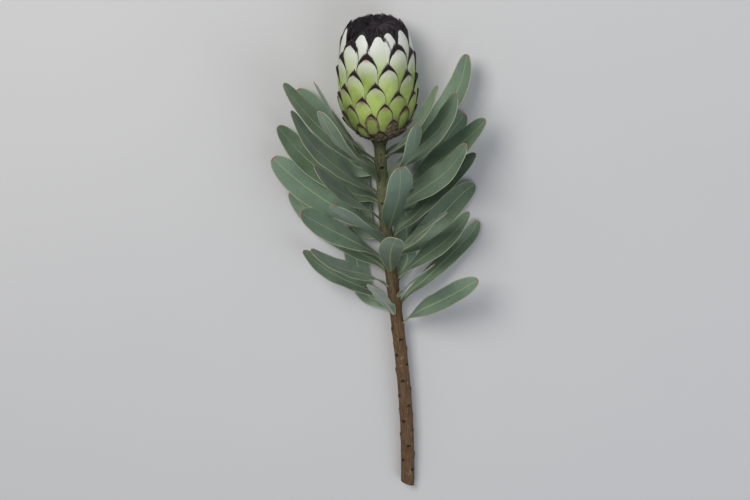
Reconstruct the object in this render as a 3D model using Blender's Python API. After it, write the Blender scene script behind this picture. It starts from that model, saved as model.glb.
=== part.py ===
"""One cut stem of a bearded queen protea, laid on a flat surface.

The woody stem runs along +Y with the bloom at its +Y end. The cut end of the stem, the belly of the
bloom and the leaves at both sides touch the surface, Z = 0. Sizes are real and in metres.
"""

import math

import bpy
import numpy as np

MM = 0.001
GOLDEN_TURN = math.radians(137.508)  # from each leaf or bract to the next one up the spiral

STEM_LENGTH = 380 * MM  # from the cut end to the base of the bloom
BLOOM_LENGTH = 120 * MM
BLOOM_RADIUS = 37.5 * MM
LEAFY_LENGTH = 196 * MM  # of stem that still carries leaves
BARE_NECK = 20 * MM  # between the bloom and the highest leaf

CUT_RADIUS = 6.8 * MM
NECK_RADIUS = 5.4 * MM
RECEPTACLE_RADIUS = 9.5 * MM  # where the stem swells into the bloom
RECEPTACLE_SWELL = 16 * MM  # length of that swelling
CUT_SLANT = math.radians(24)  # of the florist's cut
CUT_TURN = math.radians(125)  # azimuth of the long side of the cut

# How the shoot lies: its heading towards -X and its climb, in degrees along the stem
LEAN_CUT, LEAN_NECK, LEAN_MID = 1.0, 4.0, 6.0
RISE_CUT, RISE_BLOOM, RISE_SAG = 5.57, 8.0, 4.9
BELLY_PRESS = 0.9 * MM  # how far the bloom's belly is flattened by the surface
BLOOM_BASE_X = 0.25 * MM
BLOOM_BASE_Y = 130.6 * MM

JOINT_GAP = 0.35 * MM  # between pieces that touch

# Leaves, in a golden-angle spiral of places on the stem. Some places have lost their leaf
LEAF_PLACES = 35
LEAF_FIRST_TURN = math.radians(64)  # azimuth of the highest place; 0 is up and a quarter turn is +X
STRIPPED_LENGTH = 78 * MM  # below the bloom, where no leaf stands in front of the neck
STRIPPED_TURN = math.radians(40)  # to each side
LEAF_LENGTHS = (134 * MM, 104 * MM)  # of the highest and the lowest
LEAF_WIDTHS = (21 * MM, 27.5 * MM)  # of the narrowest and the widest
LEAF_THICKNESS = 1.0 * MM
LEAF_ROOT_GAP = JOINT_GAP + 0.45 * LEAF_THICKNESS  # from the stem to the middle of the leaf's root
LEAF_LIFT = 0.12 * MM  # height of a leaf's middle surface where it lies on the floor
LEAF_STACK = 9 * MM  # more for the highest leaves, which lie on those below
LEAF_TWIST = math.radians(44)  # of the leaves at the sides, which turn their upper face to the light
# Opening from the stem in degrees at the root, the middle and the tip, of the highest and the lowest leaf
OPEN_ROOT, OPEN_MIDDLE, OPEN_TIP = (46, 43), (38, 59), (14, 54)
FLOOR_SPREAD = (40, 24)  # least azimuth in degrees from straight down, and what is added near the bloom
LEAF_SPREAD = 24 * MM  # from the stem, where the leaves below it have swung out to its sides
LEAF_STEPS = 61  # along a leaf's midline
LEAF_SEED = 395

# The bloom. Heights are above its base, along its axis
WIDEST = 0.40  # share of its length
SEAM_HEIGHT = 6.5 * MM  # brown scales below, green bracts above
CROWN_HEIGHT = 99.0 * MM  # the black beard's body stands on the bracts here
CROWN_INSET = 2.4 * MM  # of the beard's body in the bloom's surface, behind the ends of the upper bracts
FIRST_BRACT, LAST_BRACT = -36, 30  # bract 0 is the one in the middle of the side that faces up
SMALL_BRACTS = -16  # those before this one have fewer facets
BRACT_ZERO_TURN = math.radians(-2)
# Tip height, width, and length to where the neighbours hide it, of some bracts along the spiral
TIP_RANKS = (-36, -21, -5, 13, 21, 30)
TIP_HEIGHTS = (16.5 * MM, 38.5 * MM, 57.5 * MM, 95.0 * MM, 110.2 * MM, 112.2 * MM)
BRACT_WIDTHS = (9.5 * MM, 13 * MM, 18 * MM, 19.5 * MM, 20 * MM, 17 * MM)
BRACT_LENGTHS = (12 * MM, 24 * MM, 40 * MM, 56 * MM, 66 * MM, 62 * MM)
BRACT_FOOT = SEAM_HEIGHT + 0.9 * MM  # no bract's root is lower
BRACT_SHOULDER = 0.84  # of its width, from the tip to where it is widest
BRACT_SLOPE = 0.075  # how much a bract rises out of the bloom's surface along its length
BRACT_PROUD = 0.6 * MM  # of the bloom's surface, at the tip
BRACT_HOLLOW = 0.9 * MM  # how much lower its edges are
BRACT_DEPTH = 5.0 * MM  # from its face down to its hidden back
CORE_SINK = 3.2 * MM
SCALE_COUNT = 21  # on the receptacle
SCALE_DEPTH = 3 * MM
LOCK_COUNT = 27  # of the beard
LOCK_RISE = 1.2 * MM  # of the locks over the beard's body
FLORET_COUNT = 11
FLORET_SPREAD = 4.5 * MM
FLOOR_BLOCK = 300 * MM  # side of the block that cuts the belly flat


def smooth(x):
    """Smooth step: 0 below 0, 1 above 1, with level ends."""
    x = np.clip(x, 0.0, 1.0)
    return x * x * (3 - 2 * x)


# The shoot: one smooth centreline for the stem and the bloom, with a frame at every point


def bloom_radius(height):
    """Radius of the bloom at a height: two quarter superellipses that meet where it is widest."""
    share = np.asarray(height) / BLOOM_LENGTH
    below = np.clip((WIDEST - share) / (WIDEST + 0.01), 0, 1) ** 2.6
    above = np.clip((share - WIDEST) / (1.04 - WIDEST), 0, 1) ** 3.0
    return BLOOM_RADIUS * np.sqrt(1 - np.where(share < WIDEST, below, above))


def shoot_path():
    """Centreline from the cut end to the top of the bloom: short steps turned by a heading and a climb."""
    total = STEM_LENGTH + BLOOM_LENGTH
    along = np.linspace(0, total, 501)
    share = np.clip(along / STEM_LENGTH, 0, 1)
    lean = np.radians(LEAN_CUT + (LEAN_NECK - LEAN_CUT) * share + LEAN_MID * np.sin(math.pi * share))
    rise = np.radians(RISE_CUT + (RISE_BLOOM - RISE_CUT) * share - RISE_SAG * np.sin(math.pi * share))
    tangent = np.stack([-np.sin(lean) * np.cos(rise), np.cos(lean) * np.cos(rise), np.sin(rise)], axis=1)
    steps = (tangent[1:] + tangent[:-1]) / 2 * np.diff(along)[:, None]
    points = np.vstack([np.zeros(3), np.cumsum(steps, axis=0)])
    heights = np.linspace(0, BLOOM_LENGTH, 200)
    bloom_rise = math.radians(RISE_BLOOM)
    belly = np.max(bloom_radius(heights) * math.cos(bloom_rise) - heights * math.sin(bloom_rise))
    base = np.array([np.interp(STEM_LENGTH, along, points[:, i]) for i in range(3)])
    points += np.array([BLOOM_BASE_X, BLOOM_BASE_Y, belly - BELLY_PRESS]) - base
    return along, points, tangent


PATH_ALONG, PATH_POINTS, PATH_TANGENTS = shoot_path()


def shoot_frame(along):
    """Point, tangent, up and side vectors of the shoot at distances from the cut end."""
    along = np.asarray(along, float)
    pick = [np.stack([np.interp(along, PATH_ALONG, column) for column in table.T], axis=-1)
            for table in (PATH_POINTS, PATH_TANGENTS)]
    point, tangent = pick[0], pick[1] / np.linalg.norm(pick[1], axis=-1, keepdims=True)
    up = np.array([0.0, 0.0, 1.0]) - tangent * tangent[..., 2:3]
    up /= np.linalg.norm(up, axis=-1, keepdims=True)
    side = np.cross(tangent, up)
    return point, tangent, up, side


def around_shoot(along, radius, turn):
    """Points at a radius and an azimuth round the shoot. Azimuth 0 is up and a quarter turn is +X."""
    point, _, up, side = shoot_frame(along)
    radius, turn = np.asarray(radius)[..., None], np.asarray(turn)[..., None]
    return point + radius * (up * np.cos(turn) + side * np.sin(turn))


# Meshes


def add_piece(name, vertices, faces, colour, roughness):
    """Makes a named object from vertices and faces, with its own plain material."""
    mesh = bpy.data.meshes.new(name)
    mesh.from_pydata([tuple(v) for v in vertices], [], [tuple(int(i) for i in f) for f in faces])
    mesh.validate()
    piece = bpy.data.objects.new(name, mesh)
    bpy.context.scene.collection.objects.link(piece)
    material = bpy.data.materials.new(name)
    material.use_nodes = True
    shader = material.node_tree.nodes["Principled BSDF"]
    shader.inputs["Base Color"].default_value = (*colour, 1)
    shader.inputs["Roughness"].default_value = roughness
    mesh.materials.append(material)
    mesh.shade_smooth()
    mesh.set_sharp_from_angle(angle=math.radians(40))
    return piece


def grid_faces(rows, columns, start=0, flip=False):
    """Two triangles for each cell of a grid of points, all split along the same diagonal."""
    i, j = np.meshgrid(np.arange(rows - 1), np.arange(columns - 1), indexing="ij")
    a = (start + i * columns + j).ravel()
    b, c, d = a + 1, a + columns + 1, a + columns
    faces = np.concatenate([np.stack([a, b, c], 1), np.stack([a, c, d], 1)])
    return faces[:, ::-1] if flip else faces


def blade_mesh(front, back):
    """A closed blade from two grids of points, front and back, joined round their edges."""
    rows, columns = front.shape[:2]
    count = rows * columns
    faces = [grid_faces(rows, columns), grid_faces(rows, columns, count, flip=True)]
    rim = np.concatenate([
        np.arange(columns),
        np.arange(1, rows) * columns + columns - 1,
        (rows - 1) * columns + np.arange(columns - 2, -1, -1),
        np.arange(rows - 2, 0, -1) * columns,
    ])
    after = np.roll(rim, -1)
    faces.append(np.stack([rim, rim + count, after + count], 1))
    faces.append(np.stack([rim, after + count, after], 1))
    points = np.concatenate([front.reshape(-1, 3), back.reshape(-1, 3)])
    return points, np.concatenate(faces)


def turned_mesh(rings):
    """A closed body from rings of points, capped by a fan at each end."""
    rows, sides = rings.shape[:2]
    i, j = np.meshgrid(np.arange(rows - 1), np.arange(sides), indexing="ij")
    a, b = (i * sides + j).ravel(), (i * sides + (j + 1) % sides).ravel()
    c, d = b + sides, a + sides
    low, high = rows * sides, rows * sides + 1
    rim = np.arange(sides)
    after = (rim + 1) % sides
    last = (rows - 1) * sides
    faces = np.concatenate([
        np.stack([a, b, c], 1), np.stack([a, c, d], 1),
        np.stack([np.full(sides, low), after, rim], 1),
        np.stack([np.full(sides, high), last + rim, last + after], 1),
    ])
    points = np.concatenate([rings.reshape(-1, 3), rings[0].mean(0)[None], rings[-1].mean(0)[None]])
    return points, faces


def join_all(body, others):
    """Joins a list of closed pieces to body by one Boolean union, and removes them."""
    group = bpy.data.collections.new(body.name + "_parts")
    bpy.context.scene.collection.children.link(group)
    for piece in others:
        bpy.context.scene.collection.objects.unlink(piece)
        group.objects.link(piece)
    union = body.modifiers.new("join", "BOOLEAN")
    union.operation = "UNION"
    union.solver = "EXACT"
    union.operand_type = "COLLECTION"
    union.collection = group
    bpy.context.view_layer.update()
    graph = bpy.context.evaluated_depsgraph_get()
    joined = bpy.data.meshes.new_from_object(body.evaluated_get(graph))
    body.modifiers.clear()
    body.data = joined
    for piece in list(group.objects):
        bpy.data.objects.remove(piece)
    bpy.data.collections.remove(group)
    return body


def cut_away(body, cutter):
    """Takes one closed piece away from body by a Boolean difference, and removes it."""
    change = body.modifiers.new("cut", "BOOLEAN")
    change.operation = "DIFFERENCE"
    change.solver = "EXACT"
    change.object = cutter
    bpy.context.view_layer.update()
    graph = bpy.context.evaluated_depsgraph_get()
    body_cut = bpy.data.meshes.new_from_object(body.evaluated_get(graph))
    body.modifiers.clear()
    body.data = body_cut
    bpy.data.objects.remove(cutter)
    return body


# The stem


def stem_radius(along):
    """Radius of the stem: a slow taper from the cut end, then the swelling under the bloom."""
    share = np.clip(along / STEM_LENGTH, 0, 1)
    taper = CUT_RADIUS + (NECK_RADIUS - CUT_RADIUS) * share
    swell = smooth((along - STEM_LENGTH + RECEPTACLE_SWELL) / RECEPTACLE_SWELL)
    return taper + (RECEPTACLE_RADIUS - NECK_RADIUS) * swell * swell


# Leaves


def leaf_places():
    """Distance from the cut end and azimuth of each leaf place, the highest first."""
    rank = np.arange(LEAF_PLACES)
    share = rank / (LEAF_PLACES - 1)
    below = BARE_NECK + (LEAFY_LENGTH - BARE_NECK) * share ** 1.15
    along = STEM_LENGTH - below
    turn = LEAF_FIRST_TURN - rank * GOLDEN_TURN
    return along, (turn + math.pi) % (2 * math.pi) - math.pi


def leaf_is_stripped(along, turn):
    """A few leaves that stood up in front of the neck have been stripped, and left their scars."""
    near_bloom = along > STEM_LENGTH - STRIPPED_LENGTH
    return near_bloom & (np.abs(turn) < STRIPPED_TURN)


def leaf_opening(share_down, draw, u):
    """Angle between each leaf and the stem at u along the leaf."""
    angles = []
    for (high, low), spread, k in ((OPEN_ROOT, 5, 2), (OPEN_MIDDLE, 6, 3), (OPEN_TIP, 15, 4)):
        angles.append(np.radians(high + (low - high) * share_down + spread * draw[k])[:, None])
    root, middle, tip = angles
    return root + (middle - root) * smooth(u / 0.4) + (tip - middle) * smooth((u - 0.45) / 0.55)


def leaf_azimuth(turn, share_down, outward, draw, u):
    """Azimuth along each leaf. Leaves below the stem swing out to its sides, more so next to the bloom."""
    down = math.pi - np.abs(turn)
    least = np.radians(FLOOR_SPREAD[0] + FLOOR_SPREAD[1] * smooth(1.25 - 1.6 * share_down))
    swing = least * (1 - down / math.pi)
    away = smooth(outward / LEAF_SPREAD)
    azimuth = np.sign(turn)[:, None] * (math.pi - down[:, None] - swing[:, None] * away)
    return azimuth + draw[9][:, None] * math.radians(10) * u ** 2


def leaf_midlines(along, turn, draw):
    """Midline points and crosswise directions of all leaves, with their widths and heights over the floor.

    A leaf leaves the stem at a steep angle, arches outwards and straightens again. The floor bounds its
    distance from the stem, and what it can't reach outwards it reaches along the floor, at its full length.
    """
    share_down = (STEM_LENGTH - along) / LEAFY_LENGTH
    lift = LEAF_LIFT + LEAF_STACK * np.maximum(0.96 - share_down, 0)
    length = LEAF_LENGTHS[0] + (LEAF_LENGTHS[1] - LEAF_LENGTHS[0]) * share_down ** 1.5 + draw[0] * 9 * MM
    fullness = np.sin(math.pi * np.clip(share_down + 0.15, 0, 1))
    width = LEAF_WIDTHS[0] + (LEAF_WIDTHS[1] - LEAF_WIDTHS[0]) * fullness + draw[1] * 2.5 * MM
    u = np.linspace(0, 1, LEAF_STEPS)[None, :]
    step = length[:, None] / (LEAF_STEPS - 1)
    opening = leaf_opening(share_down, draw, u)
    root = stem_radius(along)[:, None]
    outward = running_sum(np.sin(opening) * step) + root + LEAF_ROOT_GAP
    forward = running_sum(np.cos(opening) * step)
    azimuth = leaf_azimuth(turn, share_down, outward - root, draw, u)
    for _ in range(4):
        height = shoot_frame(along[:, None] + forward)[0][..., 2]
        room = (height - lift[:, None]) / np.maximum(-np.cos(azimuth), 0.03)
        radius = outward / (1 + (outward / room) ** 10) ** 0.1
        sideways = np.diff(radius, axis=1) ** 2 + (radius[:, 1:] * np.diff(azimuth, axis=1)) ** 2
        advance = np.sqrt(np.maximum(step ** 2 - sideways, (0.15 * step) ** 2))
        forward = np.concatenate([np.zeros_like(step), np.cumsum(advance, axis=1)], axis=1)
    points = around_shoot(along[:, None] + forward, radius, azimuth)
    across = around_shoot(along[:, None] + forward, radius, azimuth + 0.01) - points
    across /= np.linalg.norm(across, axis=-1, keepdims=True)
    return points, across, width, lift


def running_sum(steps):
    """Sum of the mid-step values along the last axis, from 0."""
    middles = (steps[:, 1:] + steps[:, :-1]) / 2
    return np.concatenate([np.zeros((len(steps), 1)), np.cumsum(middles, axis=1)], axis=1)


def leaf_half_width(u):
    """Share of the half width: narrow at the root, widest past the middle, blunt at the tip."""
    body = (u ** 0.85) * (np.clip(1 - u, 0, 1) ** 0.44)
    peak = 0.85 / (0.85 + 0.44)
    top = (peak ** 0.85) * ((1 - peak) ** 0.44)
    return 0.17 * (1 - u) ** 2 + (1 - 0.17 * (1 - peak) ** 2) * body / top


def leaf_surface(points, across, width, lift, turn, draw, u, v):
    """Points and unit normals on a leaf's middle surface, at u along it and v from edge to edge."""
    fine = np.linspace(0, 1, LEAF_STEPS)
    centre = np.stack([np.interp(u, fine, c) for c in points.T], axis=1)
    ahead = np.stack([np.interp(u, fine, c) for c in np.gradient(points, axis=0).T], axis=1)
    ahead /= np.linalg.norm(ahead, axis=1, keepdims=True)
    half = leaf_half_width(u) * width / 2
    wide = np.stack([np.interp(u, fine, c) for c in across.T], axis=1)
    wide -= ahead * np.sum(wide * ahead, axis=1, keepdims=True)
    wide /= np.linalg.norm(wide, axis=1, keepdims=True)
    face = np.cross(wide, ahead)
    twist = -LEAF_TWIST * math.sin(turn) * smooth(u / 0.45) + draw[5] * math.radians(26) * u
    wide, face = spin(wide, face, twist)
    room = np.maximum(centre[:, 2] - lift, 0)
    level = np.cross(ahead, np.array([0.0, 0.0, 1.0]))
    level *= np.sign(np.sum(level * wide, axis=1, keepdims=True))
    press = (1 - smooth(room / (half.max() * 1.3)))[:, None] * smooth(u / 0.3)[:, None]
    wide = wide * (1 - press) + level * press
    wide -= ahead * np.sum(wide * ahead, axis=1, keepdims=True)
    wide /= np.linalg.norm(wide, axis=1, keepdims=True)
    face = np.cross(wide, ahead)
    free = 1 - 0.7 * press[:, 0]
    fold = 0.10 + 0.05 * draw[6]
    waves = (1.2 + 0.5 * draw[7]) * MM * free * np.sin(math.pi * u)
    phase = draw[8] * math.pi
    edge = np.where(v[None, :] > 0, np.sin(9.5 * u + phase)[:, None], np.sin(8.3 * u + 2 + phase)[:, None])
    rise = -fold * half[:, None] * v[None, :] ** 2 + waves[:, None] * edge * np.abs(v[None, :]) ** 1.6
    grid = centre[:, None] + wide[:, None] * (half[:, None] * v[None, :])[..., None]
    grid = grid + face[:, None] * rise[..., None]
    soft = 0.6 * MM
    above = (grid[..., 2] - lift) / soft
    grid[..., 2] = lift + soft * (np.log1p(np.exp(-np.abs(above))) + np.maximum(above, 0))
    along_u = np.gradient(grid, axis=0)
    along_v = np.gradient(grid, axis=1)
    normal = np.cross(along_v, along_u)
    normal /= np.maximum(np.linalg.norm(normal, axis=-1, keepdims=True), 1e-12)
    return grid, normal


def spin(wide, face, angle):
    """Turns a pair of square unit vectors about the third."""
    c, s = np.cos(angle)[:, None], np.sin(angle)[:, None]
    return wide * c + face * s, face * c - wide * s


def leaf_blade(points, across, width, lift, turn, draw):
    """A leaf's closed blade, split into triangles alike on both faces."""
    u = np.array([0.0, 0.15, 0.32, 0.50, 0.67, 0.82, 0.94, 0.995])
    v = np.array([-1.0, -0.5, 0.0, 0.5, 1.0])
    grid, normal = leaf_surface(points, across, width, lift, turn, draw, u, v)
    shift = normal * LEAF_THICKNESS / 2
    return blade_mesh(grid + shift, grid - shift)


def make_leaves():
    """Every leaf is its own piece, numbered from the bloom downwards."""
    along, turn = leaf_places()
    draws = np.random.default_rng(LEAF_SEED).uniform(-1, 1, (10, LEAF_PLACES))
    kept = ~leaf_is_stripped(along, turn)
    along, turn, draws = along[kept], turn[kept], draws[:, kept]
    points, across, width, lift = leaf_midlines(along, turn, draws)
    for k in range(len(along)):
        vertices, faces = leaf_blade(points[k], across[k], width[k], lift[k], turn[k], draws[:, k])
        add_piece(f"leaf_{k + 1:02d}", vertices, faces, (0.20, 0.29, 0.23), 0.55)


def make_stem():
    """The woody shoot, with a slanted cut."""
    along = np.concatenate([[0, 4, 10], np.linspace(22, 356, 23), [364, 370, 375.5, 380]]) * MM
    turn = np.linspace(0, 2 * math.pi, 13, endpoint=False)
    ring_along = along[:, None] + np.zeros(len(turn))[None, :]
    radius = stem_radius(ring_along)
    slant = math.tan(CUT_SLANT) * radius * (1 - np.cos(turn - CUT_TURN))
    ring_along = ring_along + slant * np.clip(1 - along / (16 * MM), 0, 1)[:, None]
    rings = around_shoot(ring_along, radius, np.broadcast_to(turn[None, :], radius.shape))
    vertices, faces = turned_mesh(rings)
    add_piece("stem", vertices, faces, (0.20, 0.15, 0.08), 0.8)


# The bloom


def bloom_point(height, radius, turn):
    return around_shoot(STEM_LENGTH + np.asarray(height), radius, turn)


def arch(rest):
    """Outline of a bract's end as a share of its half width: a Gothic arch down to its shoulders."""
    return (1 - np.clip(1 - rest, 0, 1) ** 1.8) ** 0.65


def bract_surface(rank, u, v):
    """Height, radius and azimuth of a bract's face, at u from its hidden root to its tip and v across."""
    tip = np.interp(rank, TIP_RANKS, TIP_HEIGHTS)
    width = np.interp(rank, TIP_RANKS, BRACT_WIDTHS)
    length = min(np.interp(rank, TIP_RANKS, BRACT_LENGTHS), tip - BRACT_FOOT)
    from_tip = (1 - u) * length
    half = width / 2 * arch(from_tip / (BRACT_SHOULDER * width) + 0.012)
    height = tip - from_tip
    radius = bloom_radius(height) + BRACT_PROUD - BRACT_SLOPE * from_tip
    radius = radius[:, None] - BRACT_HOLLOW * (half / (9 * MM))[:, None] * v[None, :] ** 2
    turn = BRACT_ZERO_TURN + rank * GOLDEN_TURN + np.arcsin(half[:, None] * v[None, :] / radius)
    return np.broadcast_to(height[:, None], radius.shape), radius, turn


def shield_mesh(height, radius, turn, depth):
    """A closed shield from a face over the bloom, with straight walls down into it and a hidden back."""
    rows, columns = radius.shape
    face = bloom_point(height, radius, turn)
    rim = np.concatenate([
        np.arange(columns),
        np.arange(1, rows) * columns + columns - 1,
        (rows - 1) * columns + np.arange(columns - 2, -1, -1),
        np.arange(rows - 2, 0, -1) * columns,
    ])
    height, radius, turn = (a.ravel() for a in (height, radius, turn))
    sunk_radius = np.maximum(radius[rim] - depth, 2 * MM)
    back = bloom_point(height[rim], sunk_radius, turn[rim])
    count, ring = rows * columns, len(rim)
    order = np.arange(ring)
    after = np.roll(order, -1)
    faces = np.concatenate([
        grid_faces(rows, columns, flip=True),
        np.stack([rim, rim[after], count + after], 1),
        np.stack([rim, count + after, count + order], 1),
        np.stack([count + order, count + after, np.full(ring, count + ring)], 1),
    ])
    return np.concatenate([face.reshape(-1, 3), back, back.mean(0)[None]]), faces


def revolved(name, heights, radii, colour, sides=28):
    """A body of revolution about the bloom's axis."""
    turn = np.linspace(0, 2 * math.pi, sides, endpoint=False)
    height = np.asarray(heights)[:, None] + np.zeros(sides)[None, :]
    radius = np.asarray(radii)[:, None] + np.zeros(sides)[None, :]
    rings = bloom_point(height, radius, np.broadcast_to(turn[None, :], radius.shape))
    vertices, faces = turned_mesh(rings)
    return add_piece(name, vertices, faces, colour, 0.6)


def make_bracts():
    """Overlapping bracts in a golden-angle spiral on a core, cut flat where the bloom rests."""
    green = (0.42, 0.50, 0.14)
    core_heights = np.concatenate([[SEAM_HEIGHT + JOINT_GAP], np.linspace(12 * MM, CROWN_HEIGHT + MM, 12)])
    core = revolved("bracts", core_heights, bloom_radius(core_heights) - CORE_SINK, green)
    shields = []
    for rank in range(FIRST_BRACT, LAST_BRACT + 1):
        u = np.array([0.0, 0.36, 0.62, 0.8, 0.93, 1.0])
        v = np.array([-1.0, -0.5, 0.0, 0.5, 1.0])
        if rank < SMALL_BRACTS:
            u, v = np.array([0.0, 0.4, 0.7, 0.88, 1.0]), np.array([-1.0, 0.0, 1.0])
        height, radius, turn = bract_surface(rank, u, v)
        vertices, faces = shield_mesh(height, radius, turn, BRACT_DEPTH)
        shields.append(add_piece(f"shield_{rank}", vertices, faces, green, 0.6))
    bracts = join_all(core, shields)
    room_heights = np.array([CROWN_HEIGHT, 103 * MM, 107 * MM, 111 * MM, 115 * MM, 122 * MM])
    room = revolved("room", room_heights, crown_outside(room_heights) + JOINT_GAP, green)
    cut_away(bracts, room)
    bpy.ops.mesh.primitive_cube_add(size=FLOOR_BLOCK, location=(0, FLOOR_BLOCK / 2, -FLOOR_BLOCK / 2))
    cut_away(bracts, bpy.context.object)


def crown_outside(height):
    """Radius of the beard's body, inside the ends of the upper bracts."""
    return bloom_radius(height) - CROWN_INSET


def make_receptacle():
    """The swollen end of the stem under the bracts, covered by small scales."""
    brown = (0.16, 0.10, 0.07)
    heights = np.array([JOINT_GAP, 2 * MM, 4 * MM, SEAM_HEIGHT])
    body = revolved("receptacle", heights, bloom_radius(heights) - 1.4 * MM, brown, 22)
    scales = []
    for rank in range(SCALE_COUNT):
        share = rank / (SCALE_COUNT - 1)
        tip = (3.4 + 3.1 * share) * MM
        from_tip = np.array([1.0, 0.4, 0.0]) * (2.8 + 2.2 * share) * MM
        height = (tip - from_tip)[:, None] + np.zeros(3)[None, :]
        half = (2.6 + 1.8 * share) * MM * np.array([0.9, 1.0, 0.15])
        v = np.array([-1.0, 0.0, 1.0])
        radius = bloom_radius(height) + 0.3 * MM - 0.35 * from_tip[:, None] - 0.4 * MM * v[None, :] ** 2
        turn = (FIRST_BRACT - SCALE_COUNT + rank) * GOLDEN_TURN + half[:, None] * v[None, :] / radius
        vertices, faces = shield_mesh(height, radius, turn, SCALE_DEPTH)
        scales.append(add_piece(f"scale_{rank}", vertices, faces, brown, 0.9))
    join_all(body, scales)


def crown_meridian():
    """Height and radius of the beard's body, from its foot over the shoulder into the hollow."""
    foot = np.array([CROWN_HEIGHT + JOINT_GAP, 103 * MM, 107 * MM, 110.5 * MM])
    heights = np.concatenate([foot, np.array([112.4, 113.4, 112.8, 110.8, 106.5]) * MM])
    radii = np.concatenate([crown_outside(foot) - LOCK_RISE, np.array([18.6, 14.4, 10.6, 8.0, 6.7]) * MM])
    return heights, radii


def lock_of_beard(rank):
    """A pointed lock that lies along the beard's body, its root sunk and its tip a little proud."""
    heights, radii = crown_meridian()
    along = np.concatenate([[0], np.cumsum(np.hypot(np.diff(heights), np.diff(radii)))])
    share = rank / (LOCK_COUNT - 1)
    draw = np.random.default_rng(rank).uniform(-1, 1, 3)
    length = (12.0 - 1.5 * share + 1.2 * draw[0]) * MM
    first = (3.5 + 15.0 * share + 0.6 * draw[1]) * MM
    t = np.array([0.0, 0.4, 0.75, 1.0])
    where = first + length * t
    height, radius = np.interp(where, along, heights), np.interp(where, along, radii)
    slope_h = np.interp(where + MM, along, heights) - np.interp(where - MM, along, heights)
    slope_r = np.interp(where + MM, along, radii) - np.interp(where - MM, along, radii)
    norm = np.hypot(slope_h, slope_r)
    out_h, out_r = -slope_r / norm, slope_h / norm
    rise = (-1.6 + 2.3 * t) * MM * 0.75
    wide = (5.8 - 1.4 * share) / 2 * MM * np.array([0.85, 1.0, 0.62, 0.06])
    thick = 0.36 * wide
    sides = np.linspace(0, 2 * math.pi, 5, endpoint=False)
    off = rise[:, None] + thick[:, None] * np.cos(sides)[None, :]
    ring_height = height[:, None] + off * out_h[:, None]
    ring_radius = radius[:, None] + off * out_r[:, None]
    turn = rank * GOLDEN_TURN + 0.12 * draw[2] * t[:, None]
    turn = turn + wide[:, None] * np.sin(sides)[None, :] / ring_radius
    return turned_mesh(bloom_point(ring_height, ring_radius, turn))


def floret_tip(rank):
    """A short pointed tip that stands up in the hollow of the beard."""
    share = (rank + 0.5) / FLORET_COUNT
    centre_radius, turn = FLORET_SPREAD * math.sqrt(share), rank * GOLDEN_TURN
    _, _, up, side = shoot_frame(np.array([STEM_LENGTH]))
    t = np.array([0.0, 0.6, 1.0])
    heights = (107.6 + (5.4 - 1.2 * share) * t) * MM
    centre = bloom_point(heights, centre_radius * (1 + 0.12 * t), turn)
    sides = np.linspace(0, 2 * math.pi, 5, endpoint=False)
    ring = up[0] * np.cos(sides)[:, None] + side[0] * np.sin(sides)[:, None]
    size = np.array([0.95, 0.8, 0.1]) * MM
    return turned_mesh(centre[:, None, :] + size[:, None, None] * ring[None, :, :])


def make_crown():
    """The black beard that closes over the bloom's mouth, and the floret tips in its hollow."""
    black = (0.012, 0.008, 0.012)
    crown = revolved("crown_beard", *crown_meridian(), black, 24)
    locks = [add_piece(f"lock_{k}", *lock_of_beard(k), black, 0.9) for k in range(LOCK_COUNT)]
    join_all(crown, locks)
    plum = (0.06, 0.02, 0.035)
    heights = np.array([106.5 * MM + JOINT_GAP, 109 * MM])
    florets = revolved("floret_tips", heights, np.array([5.8, 5.4]) * MM, plum, 12)
    tips = [add_piece(f"floret_{k}", *floret_tip(k), plum, 0.9) for k in range(FLORET_COUNT)]
    join_all(florets, tips)


def clear_scene():
    for piece in list(bpy.data.objects):
        bpy.data.objects.remove(piece)


clear_scene()
make_stem()
make_receptacle()
make_bracts()
make_crown()
make_leaves()
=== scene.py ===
"""A cut stem of bearded queen protea, laid on a pale surface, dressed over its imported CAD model.

Everything is in metres and in the CAD model's frame: the stem runs along +Y, with the bloom at its +Y
end. Each piece repeats the shape of its CAD solid more finely, and adds hairs, veins and colour.
"""

import math
from functools import partial

import bpy
import mathutils
import numpy as np
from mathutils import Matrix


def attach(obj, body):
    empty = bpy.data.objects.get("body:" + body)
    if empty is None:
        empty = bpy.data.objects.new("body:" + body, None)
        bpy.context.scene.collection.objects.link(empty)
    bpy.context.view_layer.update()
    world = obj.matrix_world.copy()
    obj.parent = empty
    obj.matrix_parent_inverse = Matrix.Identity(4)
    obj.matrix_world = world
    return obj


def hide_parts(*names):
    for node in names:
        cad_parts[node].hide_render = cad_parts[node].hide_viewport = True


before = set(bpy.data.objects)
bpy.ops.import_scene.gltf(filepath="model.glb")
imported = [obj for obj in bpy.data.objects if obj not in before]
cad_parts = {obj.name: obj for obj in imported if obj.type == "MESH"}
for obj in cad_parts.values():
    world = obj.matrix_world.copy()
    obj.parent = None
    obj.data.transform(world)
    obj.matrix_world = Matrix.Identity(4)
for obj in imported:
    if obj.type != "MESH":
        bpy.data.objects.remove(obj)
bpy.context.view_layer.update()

# Stem
# A woody shoot of one season: olive and still soft under the bloom, barked and reddish brown lower down.
# It carries a low cushion under each leaf. The lower leaves are stripped, which left scars on their
# cushions, and the end is cut on a slant.

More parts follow.
